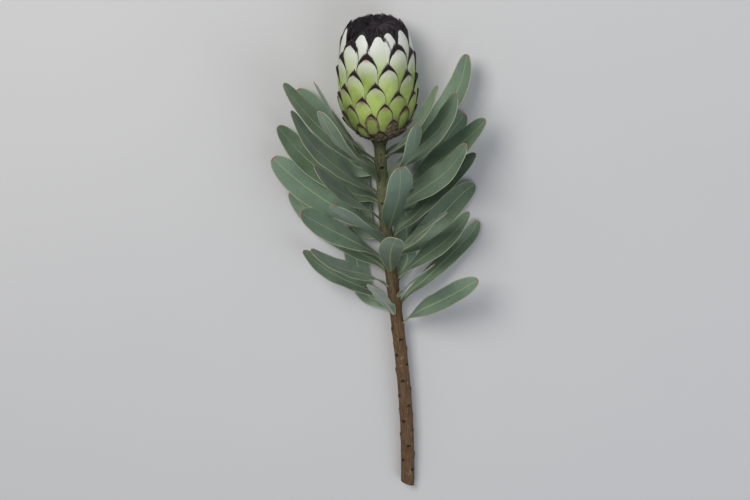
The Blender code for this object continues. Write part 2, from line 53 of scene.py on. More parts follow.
MM = 0.001
GOLDEN_TURN = math.radians(137.508)
STEM_LENGTH = 380 * MM
BLOOM_LENGTH, BLOOM_RADIUS = 120 * MM, 37.5 * MM
WIDEST = 0.40  # share of the bloom's length
BLOOM_BASE, BLOOM_PITCH = (0.25 * MM, 130.6 * MM), math.radians(8.0)
BELLY_FLAT = 0.9 * MM  # by which the bloom's belly is pressed where it rests
FLOOR_GAP = 0.05 * MM
CUT_RADIUS, NECK_RADIUS, RECEPTACLE_RADIUS = 6.8 * MM, 5.4 * MM, 9.5 * MM
RECEPTACLE_SWELL = 16 * MM
CUT_SLANT, CUT_TURN = math.tan(math.radians(24)), math.radians(125)
LEAF_PLACES = 35
LEAFY_LENGTH, BARE_NECK = 196 * MM, 20 * MM
LEAF_FIRST_TURN = math.radians(64)
STRIPPED_LENGTH, STRIPPED_TURN = 78 * MM, math.radians(40)
STRIPPED_STEP = 5.6 * MM  # between the scars lower down
# Small dark scars of scale leaves on the neck: mm below the bloom, and azimuth in degrees
NECK_SCARS = ((17.4, 8), (9.4, -37), (7.3, 45), (13.0, 150), (12.0, -140), (5.0, -100), (4.6, 120), (2.6, 8))
NECK_SCAR_SIZE = 0.55  # of a leaf's scar
CUSHION_WIDTH, CUSHION_ABOVE, CUSHION_BELOW = 2.7, 1.3, 5.5  # mm, of the bell under each leaf
LEAF_CUSHION, SCAR_CUSHION = 1.15, 0.95  # mm high
SCAR_HALF_WIDTH, SCAR_HALF_LENGTH, SCAR_DEPTH = 2.2, 1.25, 0.35  # mm
BARK_START, CUT_FADE = 8 * MM, 16 * MM  # from the cut to where the bark is whole, and the slant is gone
CUT_RINGS = (0.01, 0.14, 0.2, 0.4, 0.6, 0.78, 0.86, 0.92, 0.96, 0.975)  # shares of the cut's radius
STEM_SIDES, STEM_STEP = 60, 0.9


def smooth(x):
    """Smooth step: 3x squared less 2x cubed, held at 0 below 0 and at 1 above 1."""
    x = np.clip(x, 0.0, 1.0)
    return x * x * (3 - 2 * x)


def unit(vectors):
    """The same directions at length 1."""
    return vectors / np.linalg.norm(vectors, axis=-1, keepdims=True)


def near_zero(angle):
    """The same angle, between half a turn back and half a turn on."""
    return (angle + math.pi) % (2 * math.pi) - math.pi


def read_off(at, places, table):
    """Rows of a table that are known at some places, read off anywhere between them on straight lines."""
    return np.stack([np.interp(at, places, column) for column in table.T], axis=-1)


def bloom_radius(height):
    """Radius of the bloom at a height: two quarter superellipses that meet where it is widest."""
    share = np.asarray(height) / BLOOM_LENGTH
    below = np.clip((WIDEST - share) / (WIDEST + 0.01), 0, 1) ** 2.6
    above = np.clip((share - WIDEST) / (1.04 - WIDEST), 0, 1) ** 3.0
    return BLOOM_RADIUS * np.sqrt(1 - np.where(share < WIDEST, below, above))


def shoot_path():
    """Centreline of stem and bloom: a sum of short steps. Heading and climb follow half a sine wave."""
    along = np.linspace(0, STEM_LENGTH + BLOOM_LENGTH, 501)
    share = np.clip(along / STEM_LENGTH, 0, 1)
    lean = np.radians(1.0 + 3.0 * share + 6.0 * np.sin(math.pi * share))
    rise = np.radians(5.57 + 2.43 * share - 4.9 * np.sin(math.pi * share))
    tangent = np.stack([-np.sin(lean) * np.cos(rise), np.cos(lean) * np.cos(rise), np.sin(rise)], axis=1)
    steps = (tangent[1:] + tangent[:-1]) / 2 * np.diff(along)[:, None]
    points = np.vstack([np.zeros(3), np.cumsum(steps, axis=0)])
    heights = np.linspace(0, BLOOM_LENGTH, 200)
    belly = np.max(bloom_radius(heights) * math.cos(BLOOM_PITCH) - heights * math.sin(BLOOM_PITCH))
    points += np.array([*BLOOM_BASE, belly - BELLY_FLAT]) - read_off(STEM_LENGTH, along, points)
    return along, points, tangent


PATH_ALONG, PATH_POINTS, PATH_TANGENTS = shoot_path()


def shoot_frame(along):
    """Point, tangent, up and side of the shoot at distances from its cut end."""
    point, tangent = [read_off(along, PATH_ALONG, table) for table in (PATH_POINTS, PATH_TANGENTS)]
    tangent = unit(tangent)
    up = unit(np.array([0.0, 0.0, 1.0]) - tangent * tangent[..., 2:3])
    return point, tangent, up, np.cross(tangent, up)


def around_shoot(along, radius, turn):
    """Point = centre + radius (up cos turn + side sin turn), at a distance along the shoot. Turn 0 is up."""
    point, _, up, side = shoot_frame(along)
    radius, turn = np.asarray(radius)[..., None], np.asarray(turn)[..., None]
    return point + radius * (up * np.cos(turn) + side * np.sin(turn))


def leaf_places():
    """Places in a golden-angle spiral: the distance below the bloom grows as rank to the power 1.15."""
    rank = np.arange(LEAF_PLACES)
    share = rank / (LEAF_PLACES - 1)
    along = STEM_LENGTH - BARE_NECK - (LEAFY_LENGTH - BARE_NECK) * share ** 1.15
    return along, near_zero(LEAF_FIRST_TURN - rank * GOLDEN_TURN)


def leaf_is_stripped(along, turn):
    return (along > STEM_LENGTH - STRIPPED_LENGTH) & (np.abs(turn) < STRIPPED_TURN)


def scar_places():
    """Distance along, azimuth and size of the bare scars: two among the leaves, then on down the spiral."""
    along, turn = leaf_places()
    bare = leaf_is_stripped(along, turn)
    more = np.arange(1, int((along[-1] - 14 * MM) / STRIPPED_STEP))
    neck = np.array(NECK_SCARS)
    return (np.concatenate([along[bare], along[-1] - more * STRIPPED_STEP, STEM_LENGTH - neck[:, 0] * MM]),
            np.concatenate([turn[bare], turn[-1] - more * GOLDEN_TURN, np.radians(neck[:, 1])]),
            np.concatenate([np.ones(bare.sum() + len(more)), np.full(len(neck), NECK_SCAR_SIZE)]))


def stem_radius(along):
    """A straight taper, then the square of a smooth step that swells into the receptacle."""
    share = np.clip(along / STEM_LENGTH, 0, 1)
    swell = smooth((along - STEM_LENGTH + RECEPTACLE_SWELL) / RECEPTACLE_SWELL)
    return CUT_RADIUS + (NECK_RADIUS - CUT_RADIUS) * share + (RECEPTACLE_RADIUS - NECK_RADIUS) * swell ** 2


def bark(along, turn):
    """Height of the bark and how much of it is scar.

    Furrows are sines of the azimuth that drift along the stem. Each cushion is a bell across the stem,
    steep on its upper side and drawn out below. A scar is a flat ellipse with a sunken middle.
    """
    mm = along / MM
    old = smooth((260 - mm) / 120)
    furrows = np.sin(9 * turn + 0.05 * mm + 2 * np.sin(mm / 31)) + 0.7 * np.sin(14 * turn - 0.04 * mm + 1.0)
    rise = (0.04 + 0.09 * old) * furrows
    scar = np.zeros_like(mm)
    leafy = [places[~leaf_is_stripped(*leaf_places())] for places in leaf_places()]
    cushions = [(*place, LEAF_CUSHION, 0.0) for place in zip(*leafy)]
    cushions += [(place, azimuth, SCAR_CUSHION * size, size) for place, azimuth, size in zip(*scar_places())]
    radius = stem_radius(along) / MM
    for place, azimuth, height, size in cushions:
        up = mm - place / MM
        across = near_zero(turn - azimuth) * radius
        reach = np.where(up > 0, CUSHION_ABOVE, CUSHION_BELOW)
        bell = np.exp(-(across / CUSHION_WIDTH) ** 2) * np.exp(-(up / reach) ** 2)
        rise = rise + height * bell * (0.5 + 0.5 * old if size else 1.0)
        if size:
            off = np.hypot(across / (SCAR_HALF_WIDTH * size), (up - 0.3) / (SCAR_HALF_LENGTH * size))
            scar = np.maximum(scar, 1 - smooth((off - 0.75) / 0.5))
            rise = rise - SCAR_DEPTH * size * (1 - smooth(off / 0.8))
    return rise * MM, scar


def tube_faces(rows, columns, start=0):
    """Faces of a tube of rings of points, closed at both ends."""
    ring = start + np.arange(columns)
    i, j = np.meshgrid(start + np.arange(rows - 1) * columns, np.arange(columns), indexing="ij")
    a, b = (i + j).ravel(), (i + (j + 1) % columns).ravel()
    sides = np.stack([a, b, b + columns, a + columns], axis=1)
    return [sides, ring[None, ::-1], ring[None] + (rows - 1) * columns]


def put_in_scene(name, data):
    thing = bpy.data.objects.new(name, data)
    bpy.context.scene.collection.objects.link(thing)
    return thing


def make_piece(name, points, faces, material, stands_for, slot, marks):
    """Makes a mesh from points and arrays of faces, with marks as attributes, and fixes it to the part."""
    mesh = bpy.data.meshes.new(name)
    mesh.from_pydata(points.tolist(), [], [corners for group in faces for corners in group.tolist()])
    mesh.validate()
    mesh.shade_smooth()
    for key, values in marks.items():
        kind, field = ("FLOAT", "value") if np.ndim(values) == 1 else ("FLOAT_VECTOR", "vector")
        layer = mesh.attributes.new(key, kind, "POINT")
        layer.data.foreach_set(field, np.asarray(values, np.float32).ravel())
    mesh.materials.append(material)
    piece = put_in_scene(name, mesh)
    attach(piece, "root")
    if stands_for:
        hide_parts(*stands_for)


def linear(code):
    """Linear colour of an sRGB hex value."""
    parts = [int(code[i:i + 2], 16) / 255 for i in (1, 3, 5)]
    return (*[p / 12.92 if p <= 0.04045 else ((p + 0.055) / 1.055) ** 2.4 for p in parts], 1.0)


def add_node(tree, kind, settings, sockets, output=0):
    """Adds a node with its settings and gives back one of its outputs, or all of them for None.

    Each socket, by key or in order, gets a value, a hex colour or a link from another node's output.
    """
    made = tree.nodes.new("ShaderNode" + kind)
    for key, value in settings.items():
        setattr(made, key, value)
    for key, value in sockets.items() if isinstance(sockets, dict) else enumerate(sockets):
        if isinstance(value, bpy.types.NodeSocket):
            tree.links.new(value, made.inputs[key])
        else:
            made.inputs[key].default_value = linear(value) if isinstance(value, str) else value
    return made.outputs if output is None else made.outputs[output]


def new_material(name, **fixed):
    """A material with one shader, and two functions: one adds nodes to it and one links them to the shader.

    What is the same all over is set on the shader's own sockets.
    """
    material = bpy.data.materials.new(name)
    material.use_nodes = True
    tree = material.node_tree
    shader = tree.nodes["Principled BSDF"].inputs
    for socket, value in fixed.items():
        shader[socket.replace("_", " ")].default_value = value
    return material, partial(add_node, tree), lambda output, socket: tree.links.new(output, shader[socket])


COLOUR, SOFT = {"data_type": "RGBA"}, {"interpolation_type": "SMOOTHSTEP"}
MULTIPLY_ADD = {"operation": "MULTIPLY_ADD"}

# Young protea bark: thin, dull and fibrous, so it is matt and its colour runs in streaks along the stem.
# Where it is older it turns red-brown and sheds pale flecks. The cut shows cream wood with a pith.
bark_look, add, link = new_material("woody protea bark", Roughness=0.78, Specular_IOR_Level=0.3)
straight, marks = [add("Attribute", {"attribute_name": name}, {}, "Vector")
                   for name in ("straight", "stem_marks")]
age, scar, cut = add("SeparateXYZ", {}, [marks], None)
streaks, patches, flecks = [
    add("TexNoise", {}, {
        "Vector": add("VectorMath", {"operation": "MULTIPLY"}, [straight, (1, 1, along)]),
        "Scale": scale, "Detail": detail, "Roughness": rough})
    for along, scale, detail, rough in ((0.12, 0.9, 5.0, 0.6), (0.4, 0.16, 3.0, 0.5), (0.35, 0.55, 4.0, 0.7))]
streaked = add("MapRange", {}, [streaks, 0.3, 0.7])
young, old = [add("Mix", COLOUR, {0: streaked, 6: dark, 7: light}, 2)
              for dark, light in (("#585c43", "#888b6b"), ("#44301f", "#73583f"))]
shed = add("MapRange", SOFT, [flecks, 0.60, 0.68, 0.0, 0.75])
old = add("Mix", COLOUR, {0: shed, 6: old, 7: "#a4967a"}, 2)
aged = add("Math", MULTIPLY_ADD, [patches, 0.9, -0.45])
aged = add("Math", {"operation": "ADD", "use_clamp": True}, [age, aged])
rings = add("TexWave", {"wave_type": "RINGS", "rings_direction": "Z"}, {
    "Vector": straight, "Scale": 0.34, "Distortion": 1.2, "Detail": 2.0}, 1)
wood = add("Mix", COLOUR, {0: rings, 6: "#b9a878", 7: "#d6cba0"}, 2)
inner_bark = add("MapRange", SOFT, [cut, 0.80, 0.90])
pith = add("MapRange", SOFT, [cut, 0.16, 0.22, 1.0, 0.0])
for mask, colour in ((inner_bark, "#7c7f4a"), (pith, "#8a6a44")):
    wood = add("Mix", COLOUR, {0: mask, 6: wood, 7: colour}, 2)
on_cut = add("MapRange", {}, [cut, 0.965, 0.975, 1.0, 0.0])
skin = young
for mask, colour in ((aged, old), (scar, "#1f1814"), (on_cut, wood)):
    skin = add("Mix", COLOUR, {0: mask, 6: skin, 7: colour}, 2)
link(skin, "Base Color")
relief = add("Math", {"operation": "ADD"}, [streaks, flecks])
relief = add("Bump", {}, {"Strength": 0.7, "Distance": 0.3 * MM, "Height": relief})
link(relief, "Normal")


def make_stem():
    """Rings along the shoot with the bark's height added, closed by a fan of rings over the slanted cut."""
    cut_steps, steps = np.linspace(0, 12, 14), np.arange(13, STEM_LENGTH / MM, STEM_STEP)
    along = np.concatenate([cut_steps, steps, [STEM_LENGTH / MM]])[:, None] * MM
    turn = np.linspace(0, 2 * math.pi, STEM_SIDES, endpoint=False)
    rise, scar = bark(*np.broadcast_arrays(along, turn))
    radius = stem_radius(along) + rise * smooth(along / BARK_START)
    slant = CUT_SLANT * radius * (1 - np.cos(turn - CUT_TURN)) * np.clip(1 - along / CUT_FADE, 0, 1)
    share = np.array(CUT_RINGS)[:, None]
    cut_radius, end_radius = radius[0] * share, radius[-1] * np.array([[0.5], [0.01]])
    cut_along = CUT_SLANT * (radius[0] - cut_radius * np.cos(turn - CUT_TURN))
    all_along = np.concatenate([cut_along, along + slant, np.full_like(end_radius, STEM_LENGTH)])
    all_radius = np.concatenate([cut_radius, radius, end_radius])
    points = around_shoot(all_along, all_radius, turn)
    points[..., 2] = np.maximum(points[..., 2], FLOOR_GAP)
    faces = tube_faces(*all_radius.shape)
    straight = np.stack([all_radius * np.cos(turn), all_radius * np.sin(turn), all_along], axis=-1) / MM
    scars, on_cut = np.zeros_like(all_radius), np.ones_like(all_radius)
    scars[len(share):-len(end_radius)] = scar
    on_cut[:len(share)] = share
    age = smooth((STEM_LENGTH - 50 * MM - all_along) / (150 * MM))
    make_piece("stem_bark", points.reshape(-1, 3), faces, bark_look, ["stem"], "stem", {
        "straight": straight.reshape(-1, 3),
        "stem_marks": np.stack([age, scars, on_cut], axis=-1).reshape(-1, 3)})


make_stem()

# Leaves
# Leathery blades without a stalk, set round the upper half of the stem. Each has a raised midrib below, a
# shallow groove above it, waved edges with a thin yellow margin, and a hard tip. A waxy bloom greys them.

LEAF_LENGTHS = (134 * MM, 104 * MM)  # of the top leaf and the lowest
LEAF_WIDTHS = (21 * MM, 27.5 * MM)  # of the lowest leaf, and of the widest, a third of the way down
LEAF_THICKNESS, LEAF_ROOT_EXTRA, LEAF_ROOT_GAP = 0.8 * MM, 0.35 * MM, 0.8 * MM
LEAF_RIB_WIDTH, LEAF_RIB_HEIGHT = 0.9 * MM, 0.55 * MM
LEAF_FOLD, LEAF_WAVE = (0.10, 0.05), (1.2 * MM, 0.5 * MM)  # and how far each varies
LEAF_LIFT, LEAF_STACK = 0.12 * MM, 9 * MM
LEAF_TWIST = math.radians(44)
OPEN_ROOT, OPEN_MIDDLE, OPEN_TIP = (46, 43), (38, 59), (14, 54)  # degrees, of the top leaf and the lowest
FLOOR_SPREAD = (40, 64)  # degrees by which a leaf from right below swings aside: the lowest and the top one
LEAF_SPREAD = 24 * MM  # from the stem, where it has swung so far
FLOOR_SOFTNESS = 0.6 * MM
LEAF_STEPS = 61
EASING = 9  # steps over which a leaf's tight bends are rounded
LEAF_SEED, TONE_SEED = 395, 7
LEAF_ROWS = 62
LEAF_COLUMNS = (0.0, 0.045, 0.11, 0.22, 0.37, 0.53, 0.69, 0.83, 0.93, 1.0)


def between(ends, share):
    """Value at a share of the way from the first end to the second."""
    return ends[0] + (ends[1] - ends[0]) * share


def running_sum(steps):
    """Sum of the mid-step values along the last axis, from 0."""
    middles = (steps[:, 1:] + steps[:, :-1]) / 2
    return np.concatenate([np.zeros((len(steps), 1)), np.cumsum(middles, axis=1)], axis=1)


def leaf_opening(share_down, draw, u):
    """Angle from the stem: smooth steps from the root's angle to the middle's and on to the tip's."""
    angles = []
    for ends, spread, k in ((OPEN_ROOT, 5, 2), (OPEN_MIDDLE, 6, 3), (OPEN_TIP, 15, 4)):
        angles.append(np.radians(between(ends, share_down) + spread * draw[k])[:, None])
    root, middle, tip = angles
    return root + (middle - root) * smooth(u / 0.4) + (tip - middle) * smooth((u - 0.45) / 0.55)


def leaf_azimuth(turn, share_down, outward, draw, u):
    """Azimuth: its own at the root, and swung away from straight down with the distance from the stem."""
    down = math.pi - np.abs(turn)
    least = np.radians(between(FLOOR_SPREAD, smooth(1.25 - 1.6 * share_down)))
    swing = least * (1 - down / math.pi)
    away = smooth(outward / LEAF_SPREAD)
    azimuth = np.sign(turn)[:, None] * (math.pi - down[:, None] - swing[:, None] * away)
    return azimuth + draw[9][:, None] * math.radians(10) * u ** 2


def eased(lines):
    """Lines with their tight bends rounded: each point is the bell-weighted mean of those near it.

    Beyond its ends a line goes on as its own reflection through the end point, so the ends stay in place.
    """
    before = 2 * lines[:, :1] - lines[:, EASING:0:-1]
    beyond = 2 * lines[:, -1:] - lines[:, -2:-EASING - 2:-1]
    longer = np.concatenate([before, lines, beyond], axis=1)
    bell = np.exp(-(np.arange(-EASING, EASING + 1) / (0.45 * EASING)) ** 2)
    count = lines.shape[1]
    return sum(share * longer[:, k:k + count] for k, share in enumerate(bell / bell.sum()))


def leaf_midlines(along, turn, draw):
    """Midlines: steps out by the sine of the opening, held over the floor, and forwards by what is left."""
    share_down = (STEM_LENGTH - along) / LEAFY_LENGTH
    lift = LEAF_LIFT + LEAF_STACK * np.maximum(0.96 - share_down, 0)
    length = between(LEAF_LENGTHS, share_down ** 1.5) + draw[0] * 9 * MM
    fullness = np.sin(math.pi * np.clip(share_down + 0.15, 0, 1))
    width = between(LEAF_WIDTHS, fullness) + draw[1] * 2.5 * MM
    u = np.linspace(0, 1, LEAF_STEPS)[None, :]
    step = length[:, None] / (LEAF_STEPS - 1)
    opening = leaf_opening(share_down, draw, u)
    root = stem_radius(along)[:, None]
    outward = running_sum(np.sin(opening) * step) + root + LEAF_ROOT_GAP
    forward = running_sum(np.cos(opening) * step)
    azimuth = leaf_azimuth(turn, share_down, outward - root, draw, u)
    for _ in range(4):
        height = shoot_frame(along[:, None] + forward)[0][..., 2]
        room = (height - lift[:, None]) / np.maximum(-np.cos(azimuth), 0.03)
        radius = outward / (1 + (outward / room) ** 10) ** 0.1
        sideways = np.diff(radius, axis=1) ** 2 + (radius[:, 1:] * np.diff(azimuth, axis=1)) ** 2
        advance = np.sqrt(np.maximum(step ** 2 - sideways, (0.15 * step) ** 2))
        forward = np.concatenate([np.zeros_like(step), np.cumsum(advance, axis=1)], axis=1)
    points = around_shoot(along[:, None] + forward, radius, azimuth)
    across = unit(eased(around_shoot(along[:, None] + forward, radius, azimuth + 0.01) - points))
    return eased(points), across, width, lift, length


def leaf_half_width(u):
    """Share of the half width: u to 0.85 times (1 - u) to 0.44, over its peak, plus a narrow root."""
    body = (u ** 0.85) * (np.clip(1 - u, 0, 1) ** 0.44)
    peak = 0.85 / (0.85 + 0.44)
    top = (peak ** 0.85) * ((1 - peak) ** 0.44)
    return 0.17 * (1 - u) ** 2 + (1 - 0.17 * (1 - peak) ** 2) * body / top


def square_to(vectors, ahead):
    """Unit vectors square to the ones ahead, as near as can be to the ones given."""
    return unit(vectors - ahead * np.sum(vectors * ahead, axis=1, keepdims=True))


def leaf_surface(points, across, width, lift, turn, draw, u, v):
    """Middle surface: the midline plus v half widths across, folded by v squared and waved at its edges.

    Near the floor the blade levels out and a soft step holds it above the floor.
    """
    fine = np.linspace(0, 1, LEAF_STEPS)
    centre, ahead, wide = [
        read_off(u, fine, table) for table in (points, np.gradient(points, axis=0), across)]
    ahead = unit(ahead)
    wide = square_to(wide, ahead)
    half = leaf_half_width(u) * width / 2
    twist = (-LEAF_TWIST * math.sin(turn) * smooth(u / 0.45) + draw[5] * math.radians(26) * u)[:, None]
    wide = wide * np.cos(twist) + np.cross(wide, ahead) * np.sin(twist)
    room = np.maximum(centre[:, 2] - lift, 0)
    level = np.cross(ahead, np.array([0.0, 0.0, 1.0]))
    level *= np.sign(np.sum(level * wide, axis=1, keepdims=True))
    press = (1 - smooth(room / (half.max() * 1.3)))[:, None] * smooth(u / 0.3)[:, None]
    wide = square_to(wide * (1 - press) + level * press, ahead)
    face = np.cross(wide, ahead)
    waves = (LEAF_WAVE[0] + LEAF_WAVE[1] * draw[7]) * (1 - 0.7 * press) * np.sin(math.pi * u)[:, None]
    phase = draw[8] * math.pi
    edge, crimp = [np.where(v > 0, np.sin(right)[:, None], np.sin(left)[:, None]) for right, left in (
        (9.5 * u + phase, 8.3 * u + 2 + phase), (31 * u + 2 * phase, 27 * u - phase))]
    rise = -(LEAF_FOLD[0] + LEAF_FOLD[1] * draw[6]) * half[:, None] * v ** 2
    rise = rise + waves * (edge * np.abs(v) ** 1.6 + 0.28 * crimp * np.abs(v) ** 3)
    grid = centre[:, None] + wide[:, None] * (half[:, None] * v)[..., None] + face[:, None] * rise[..., None]
    above = (grid[..., 2] - lift) / FLOOR_SOFTNESS
    grid[..., 2] = lift + FLOOR_SOFTNESS * (np.log1p(np.exp(-np.abs(above))) + np.maximum(above, 0))
    return grid, unit(np.cross(np.gradient(grid, axis=1), np.gradient(grid, axis=0)))


def mirrored(values):
    """Values from 0 up, with their negatives before them."""
    return np.concatenate([-np.array(values[:0:-1]), values])


def closed_sheet(front, back, back_gap=FLOOR_GAP):
    """Points and faces of a thin closed sheet: two grids, held off the floor and joined round their rims."""
    for side, gap in ((front, FLOOR_GAP), (back, back_gap)):
        side[..., 2] = np.maximum(side[..., 2], gap)
    rows, columns = front.shape[:2]
    number = np.arange(rows * columns).reshape(rows, columns)
    a = number[:-1, :-1].ravel()
    quads = np.stack([a, a + 1, a + columns + 1, a + columns], axis=1)
    rim = np.concatenate([number[0], number[1:, -1], number[-1, -2::-1], number[-2:0:-1, 0]])
    after = np.roll(rim, -1)
    band = np.stack([rim, rim + number.size, after + number.size, after], axis=1)
    return (np.concatenate([front.reshape(-1, 3), back.reshape(-1, 3)]),
            np.concatenate([quads, quads[:, ::-1] + number.size, band]))


def on_both_faces(*values):
    """Three values at each point of a grid, for the front and the back of its sheet."""
    return np.tile(np.stack(np.broadcast_arrays(*values), axis=-1).reshape(-1, 3), (2, 1))


# Protea leaf: leathery, with a thin wax layer that greys the green and keeps it satin. Veins leave the
# midrib at a slant about 5 mm apart, and the hard margin and tip are the yellow of dry cuticle.
leaf_look, add, link = new_material("waxy protea leaf", Roughness=0.46, Specular_IOR_Level=0.42,
                                    Sheen_Weight=0.12, Sheen_Roughness=0.5)
blade, signs = [
    add("SeparateXYZ", {}, [add("Attribute", {"attribute_name": name}, {}, "Vector")], None)
    for name in ("blade", "leaf_signs")]
place = add("TexCoord", {}, {}, "Object")
cloud, mottle = [
    add("TexNoise", {}, {"Vector": place, "Scale": scale, "Detail": detail, "Roughness": rough})
    for scale, detail, rough in ((38.0, 3.0, 0.5), (420.0, 4.0, 0.65))]
off_rib = add("Math", {"operation": "ABSOLUTE"}, [blade[0]])
slant = add("Math", MULTIPLY_ADD, [off_rib, -1.25, blade[1]])
slant = add("Math", MULTIPLY_ADD, [cloud, 7.0, slant])
off_vein = add("Math", {"operation": "PINGPONG"}, [slant, 2.5])
veins = add("MapRange", SOFT, [off_vein, 0.1, 0.55, 1.0, 0.0])
wax = add("Math", {"operation": "MULTIPLY_ADD", "use_clamp": True}, [cloud, 1.6, -0.35])
dull = add("MapRange", {}, [mottle, 0.25, 0.75, 0.0, 0.3])
pale = add("Math", {"operation": "MULTIPLY"}, [veins, 0.22])
specks = add("TexVoronoi", {}, {"Vector": place, "Scale": 130.0})
specks = add("MapRange", SOFT, [specks, 0.05, 0.10, 0.6, 0.0])
rib = add("Math", {"operation": "DIVIDE"}, [off_rib, signs[1]])
rib = add("MapRange", SOFT, [rib, 0.55, 1.1, 0.85, 0.0])
margin = add("MapRange", SOFT, [blade[2], 0.3, 0.9, 0.8, 0.0])
green = "#52684b"
for mask, colour in ((signs[0], "#6f8577"), (wax, "#859d89"), (dull, "#41543f"), (pale, "#93a68a"),
                     (specks, "#39402f"), (rib, "#a3b183"), (margin, "#b0b48f"), (signs[2], "#94665a")):
    green = add("Mix", COLOUR, {0: mask, 6: green, 7: colour}, 2)
link(green, "Base Color")
relief = add("Math", MULTIPLY_ADD, [veins, -0.5, mottle])
relief = add("Bump", {}, {"Strength": 0.45, "Distance": 0.15 * MM, "Height": relief})
link(relief, "Normal")


def make_leaves():
    """The leaves in their spiral. Thickness = 0.8 mm, less at the edge, plus the rib and a thick root."""
    along, turn = leaf_places()
    draws = np.random.default_rng(LEAF_SEED).uniform(-1, 1, (10, LEAF_PLACES))
    tones = np.random.default_rng(TONE_SEED).uniform(0, 1, LEAF_PLACES)
    kept = ~leaf_is_stripped(along, turn)
    along, turn, draws, tones = along[kept], turn[kept], draws[:, kept], tones[kept]
    points, across, width, lift, length = leaf_midlines(along, turn, draws)
    u = 0.999 * np.sin(np.linspace(0, math.pi / 2, LEAF_ROWS)) ** 1.15
    v = mirrored(LEAF_COLUMNS)
    down = u[:, None]
    for k, tone in enumerate(tones):
        node = f"leaf_{k + 1:02d}"
        grid, normal = leaf_surface(points[k], across[k], width[k], lift[k], turn[k], draws[:, k], u, v)
        half = leaf_half_width(down) * width[k] / 2
        root = 1 - smooth(down / 0.06)
        rib = LEAF_RIB_HEIGHT * (1 - down) ** 0.8 * np.exp(-(half * v / LEAF_RIB_WIDTH) ** 2)
        thick = LEAF_THICKNESS / 2 * (1 - 0.45 * v ** 4) + LEAF_ROOT_EXTRA * root
        lower = grid + normal * (thick + rib)[..., None]
        upper = grid - normal * (thick - 0.3 * rib)[..., None]
        vertices, faces = closed_sheet(lower, upper)
        slope = np.gradient(half, axis=0) / np.maximum(np.gradient(down * length[k], axis=0), 1e-6)
        edge = half * (1 - np.abs(v)) / np.minimum(np.hypot(1, slope), 6)
        tip = smooth((down - 0.975) / 0.02) * (0.35 + 0.6 * tone)
        rib_mm = 0.3 + 0.95 * (1 - down) ** 1.3
        make_piece(f"leaf_blade_{k + 1:02d}", vertices, [faces], leaf_look, [node], node, {
            "blade": on_both_faces(half * v, down * length[k], edge) / MM,
            "leaf_signs": on_both_faces(tone, rib_mm, tip + 0 * v)})


make_leaves()

# Receptacle
# The swollen end of the stem under the bracts. Small dry scales cover it, felted brown, with pale torn
# edges. They are grown on the stem and overlap upwards like tiles.

SEAM_HEIGHT, JOINT_GAP = 6.5 * MM, 0.35 * MM
CORE_HEIGHTS = np.array([0.05, 1.2, 2.6, 4.2, 6.2, 7.5]) * MM
CORE_DEPTH, CORE_SIDES = 1.5 * MM, 48
FIRST_BRACT, LAST_BRACT = -36, 30
FINE_SCALES, SCALE_SEED = 58, 11
SCALE_TIPS, SCALE_LENGTHS, SCALE_HALVES = (1.6, 8.8), (2.6, 5.6), (1.7, 3.9)  # mm, of the lowest and the top
SCALE_THICKNESS, SCALE_GAP = 0.5 * MM, 0.3 * MM  # the gap is from its back down to the floor


def bloom_point(height, radius, turn):
    return around_shoot(STEM_LENGTH + np.asarray(height), radius, turn)


def turned_body(heights, radii, sides):
    """Points and faces of a closed body of revolution about the bloom's axis."""
    turn = np.linspace(0, 2 * math.pi, sides, endpoint=False)
    points = bloom_point(heights[:, None], radii[:, None], turn)
    return points.reshape(-1, 3), tube_faces(len(heights), sides)


def joined(parts):
    """Points of several meshes in one array, and their faces with the points' numbers moved on to match."""
    starts = np.cumsum([0] + [len(points) for points, _ in parts])
    return (np.concatenate([points for points, _ in parts]),
            [corners + start for (_, faces), start in zip(parts, starts) for corners in faces])


def spikes(roots, tips, widths, *bends):
    """Closed three-sided spikes from roots to tips, three quarters as wide at a bend in the middle."""
    ahead = tips - roots
    ahead /= np.maximum(np.linalg.norm(ahead, axis=1, keepdims=True), 1e-9)
    a = unit(np.cross(ahead, np.where(np.abs(ahead[:, 2:3]) < 0.8, [[0.0, 0.0, 1.0]], [[1.0, 0.0, 0.0]])))
    b = np.cross(ahead, a)
    turns = np.arange(3)[None, :, None] * 2 * math.pi / 3
    ring = (a[:, None] * np.cos(turns) + b[:, None] * np.sin(turns)) * widths[:, None, None] / 2
    rings = [roots[:, None] + ring, *[bend[:, None] + 0.75 * ring for bend in bends], tips[:, None]]
    points = np.concatenate(rings, axis=1)
    count, size = points.shape[:2]
    sides = [(i, (i + 1) % 3) for i in range(3)]
    faces = [(2, 1, 0)] + [(size - 4 + i, size - 4 + j, size - 1) for i, j in sides]
    faces += [corners for _ in bends for i, j in sides for corners in ((i, j, j + 3), (i, j + 3, i + 3))]
    first = np.arange(count)[:, None, None] * size
    return points.reshape(-1, 3), (first + np.array(faces)).reshape(-1, 3)


def thin_shell(height, radius, turn, thickness, gap, rise=0.0):
    """Points and faces of a thin closed scale or bract, whose back may lie higher than its face."""
    back = bloom_point(height + rise, np.maximum(radius - thickness, MM), turn)
    points, faces = closed_sheet(bloom_point(height, radius, turn), back, gap)
    return points, [faces[:, ::-1]]


